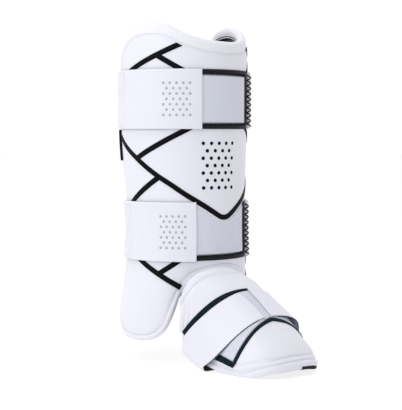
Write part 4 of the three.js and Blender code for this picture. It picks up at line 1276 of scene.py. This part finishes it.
def sew_strap(prefix, middle):
    """Overcast thread at the band's folded start and a box of stitches where band and tab are sewn."""
    reach = STRAP_WIDTH / 2 - 2.5
    bow = np.array(OVERCAST).T
    path = []
    for turn in range(int(2 * reach / OVERCAST_PITCH)):
        way = slice(None, None, 1 if turn % 2 else -1)
        height = middle - reach + OVERCAST_PITCH * (turn + np.linspace(0, 1, len(OVERCAST)))
        angle = BAND_START + bow[0][way] * DEGREES_PER_MM
        path += list(on_shin(angle, height, SECOND_LAYER + bow[1][way]))
    sew(f"{prefix}_band_overcast", "elastic", f"{prefix}_strap_band", [path], OVERCAST_THREAD)
    first, last = (TAB_JOIN + end * DEGREES_PER_MM for end in BOX_ENDS)
    reach = TAB_WIDTH / 2 - BOX_INSET
    corners = ((first, -reach), (last, -reach), (last, reach), (first, reach), (first, -reach), (last, reach))
    steps = np.linspace(0, 1, 30)
    stand = SECOND_LAYER + STRAP_WALL + 0.05
    paths = [
        on_shin(lerp(angle, next_angle, steps), middle + lerp(up, next_up, steps), stand)
        for (angle, up), (next_angle, next_up) in zip(corners, corners[1:])
    ]
    sew(f"{prefix}_tab_box_stitches", "tab", f"{prefix}_strap_tab", paths)


def sew_foot():
    """Two rows of stitches round the toe."""
    arches = np.linspace(TOE_TRIM * TOE_ARCH, 6, 80)
    paths = [[], []]
    for side in np.linspace(-0.9, 0.9, 160):
        run = run_of(on_foot(side, arches, 0))
        for path, seam, sunk in zip(paths, RIM_SEAMS, RIM_SUNK):
            path.append(on_foot(side, np.interp(seam[0], run, arches), sunk))
    sew("toe_rim_stitches", "cover", "foot_pad", paths)


def dot_motif(name, slot, node, centre, spacing, stand, width, height, finish, rows=7, columns=5):
    """A staggered block of round domes about a point of the shin, sizes in millimetres."""
    places = []
    for row in range(rows):
        for column in range(columns - row % 2):
            across = (column - (columns - 1 - row % 2) / 2) * spacing
            up = (row - (rows - 1) / 2) * spacing * math.sin(math.radians(60))
            places.append((centre[0] / DEGREES_PER_MM + across, centre[1] + up))
    angle, up = np.array(places).T * np.array(((DEGREES_PER_MM,), (1.0,)))
    carrier = bpy.data.meshes.new(f"{name}_points")
    carrier.from_pydata(to_frame(on_shin(angle, up, stand)).tolist(), [], [])
    facing = outward(shin_surface, angle, up, 0.5, 0.5).astype(np.float32)
    carrier.attributes.new("facing", "FLOAT_VECTOR", "POINT").data.foreach_set("vector", facing.ravel())
    values = {"Width": width * METRES, "Height": height * METRES, "Finish": finish}
    keep(grown(name, DOMES, carrier, values), slot, node)


sew_shell()
sew_bindings()
for prefix, middle, _ in STRAPS:
    sew_strap(prefix, middle)
sew_foot()

# Grey rubber dots for grip on the tabs, and punched vents in the shin
GRIP_INSET = 25.0  # from the tab's end
GRIP_SPACING = 6.4
VENT_CENTRE = (-6.0, 209.0)
VENT_SPACING = 9.0
# How far a dome's middle stands above the shell, its width and its height
GRIP_DOT = (SECOND_LAYER + STRAP_WALL, 3.0, 0.9)
VENT_HOLE = (CROWN, 4.6, 0.5)
VENT_RIM = (CROWN - 0.1, 6.4, 0.55)
for prefix, middle, end in STRAPS:
    centre = (end - GRIP_INSET * DEGREES_PER_MM, middle)
    dot_motif(f"{prefix}_tab_grip", "tab", f"{prefix}_strap_tab", centre, GRIP_SPACING, *GRIP_DOT, GRIP)
for name, slot, dome, finish in (
    ("shin_vents", "trim", VENT_HOLE, BLACK_FILM),
    ("shin_vent_rims", "cover", VENT_RIM, COVER),
):
    dot_motif(name, slot, "shin_shell", VENT_CENTRE, VENT_SPACING, *dome, finish)

# Bindings and a joining tab that keep the shape of their solids

SOFT_CORNER = 0.4
SHARP_TURN = math.radians(50)


def softened(node, finish, slot, name):
    """A copy of a solid with its corners rounded."""
    shape = bmesh.new()
    shape.from_mesh(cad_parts[node].data)
    bmesh.ops.remove_doubles(shape, verts=shape.verts, dist=0.000005)
    bmesh.ops.dissolve_limit(shape, angle_limit=0.001, verts=shape.verts, edges=shape.edges)
    sharp = [edge for edge in shape.edges if edge.is_manifold and edge.calc_face_angle() > SHARP_TURN]
    rounding = {"offset": SOFT_CORNER * METRES, "segments": 2, "profile": 0.6, "clamp_overlap": True}
    bmesh.ops.bevel(shape, geom=sharp, affect="EDGES", **rounding)
    mesh = bpy.data.meshes.new(name)
    shape.to_mesh(mesh)
    shape.free()
    mesh.materials.clear()
    mesh.materials.append(finish)
    mesh.polygons.foreach_set("use_smooth", [True] * len(mesh.polygons))
    keep(new_object(name, mesh), slot, node)


for prefix in ("upper", "lower"):
    softened(f"{prefix}_panel_binding", TAPE, "trim", f"{prefix}_binding_tape")
softened("ankle_tab", HOOK, "lining", "ankle_join")
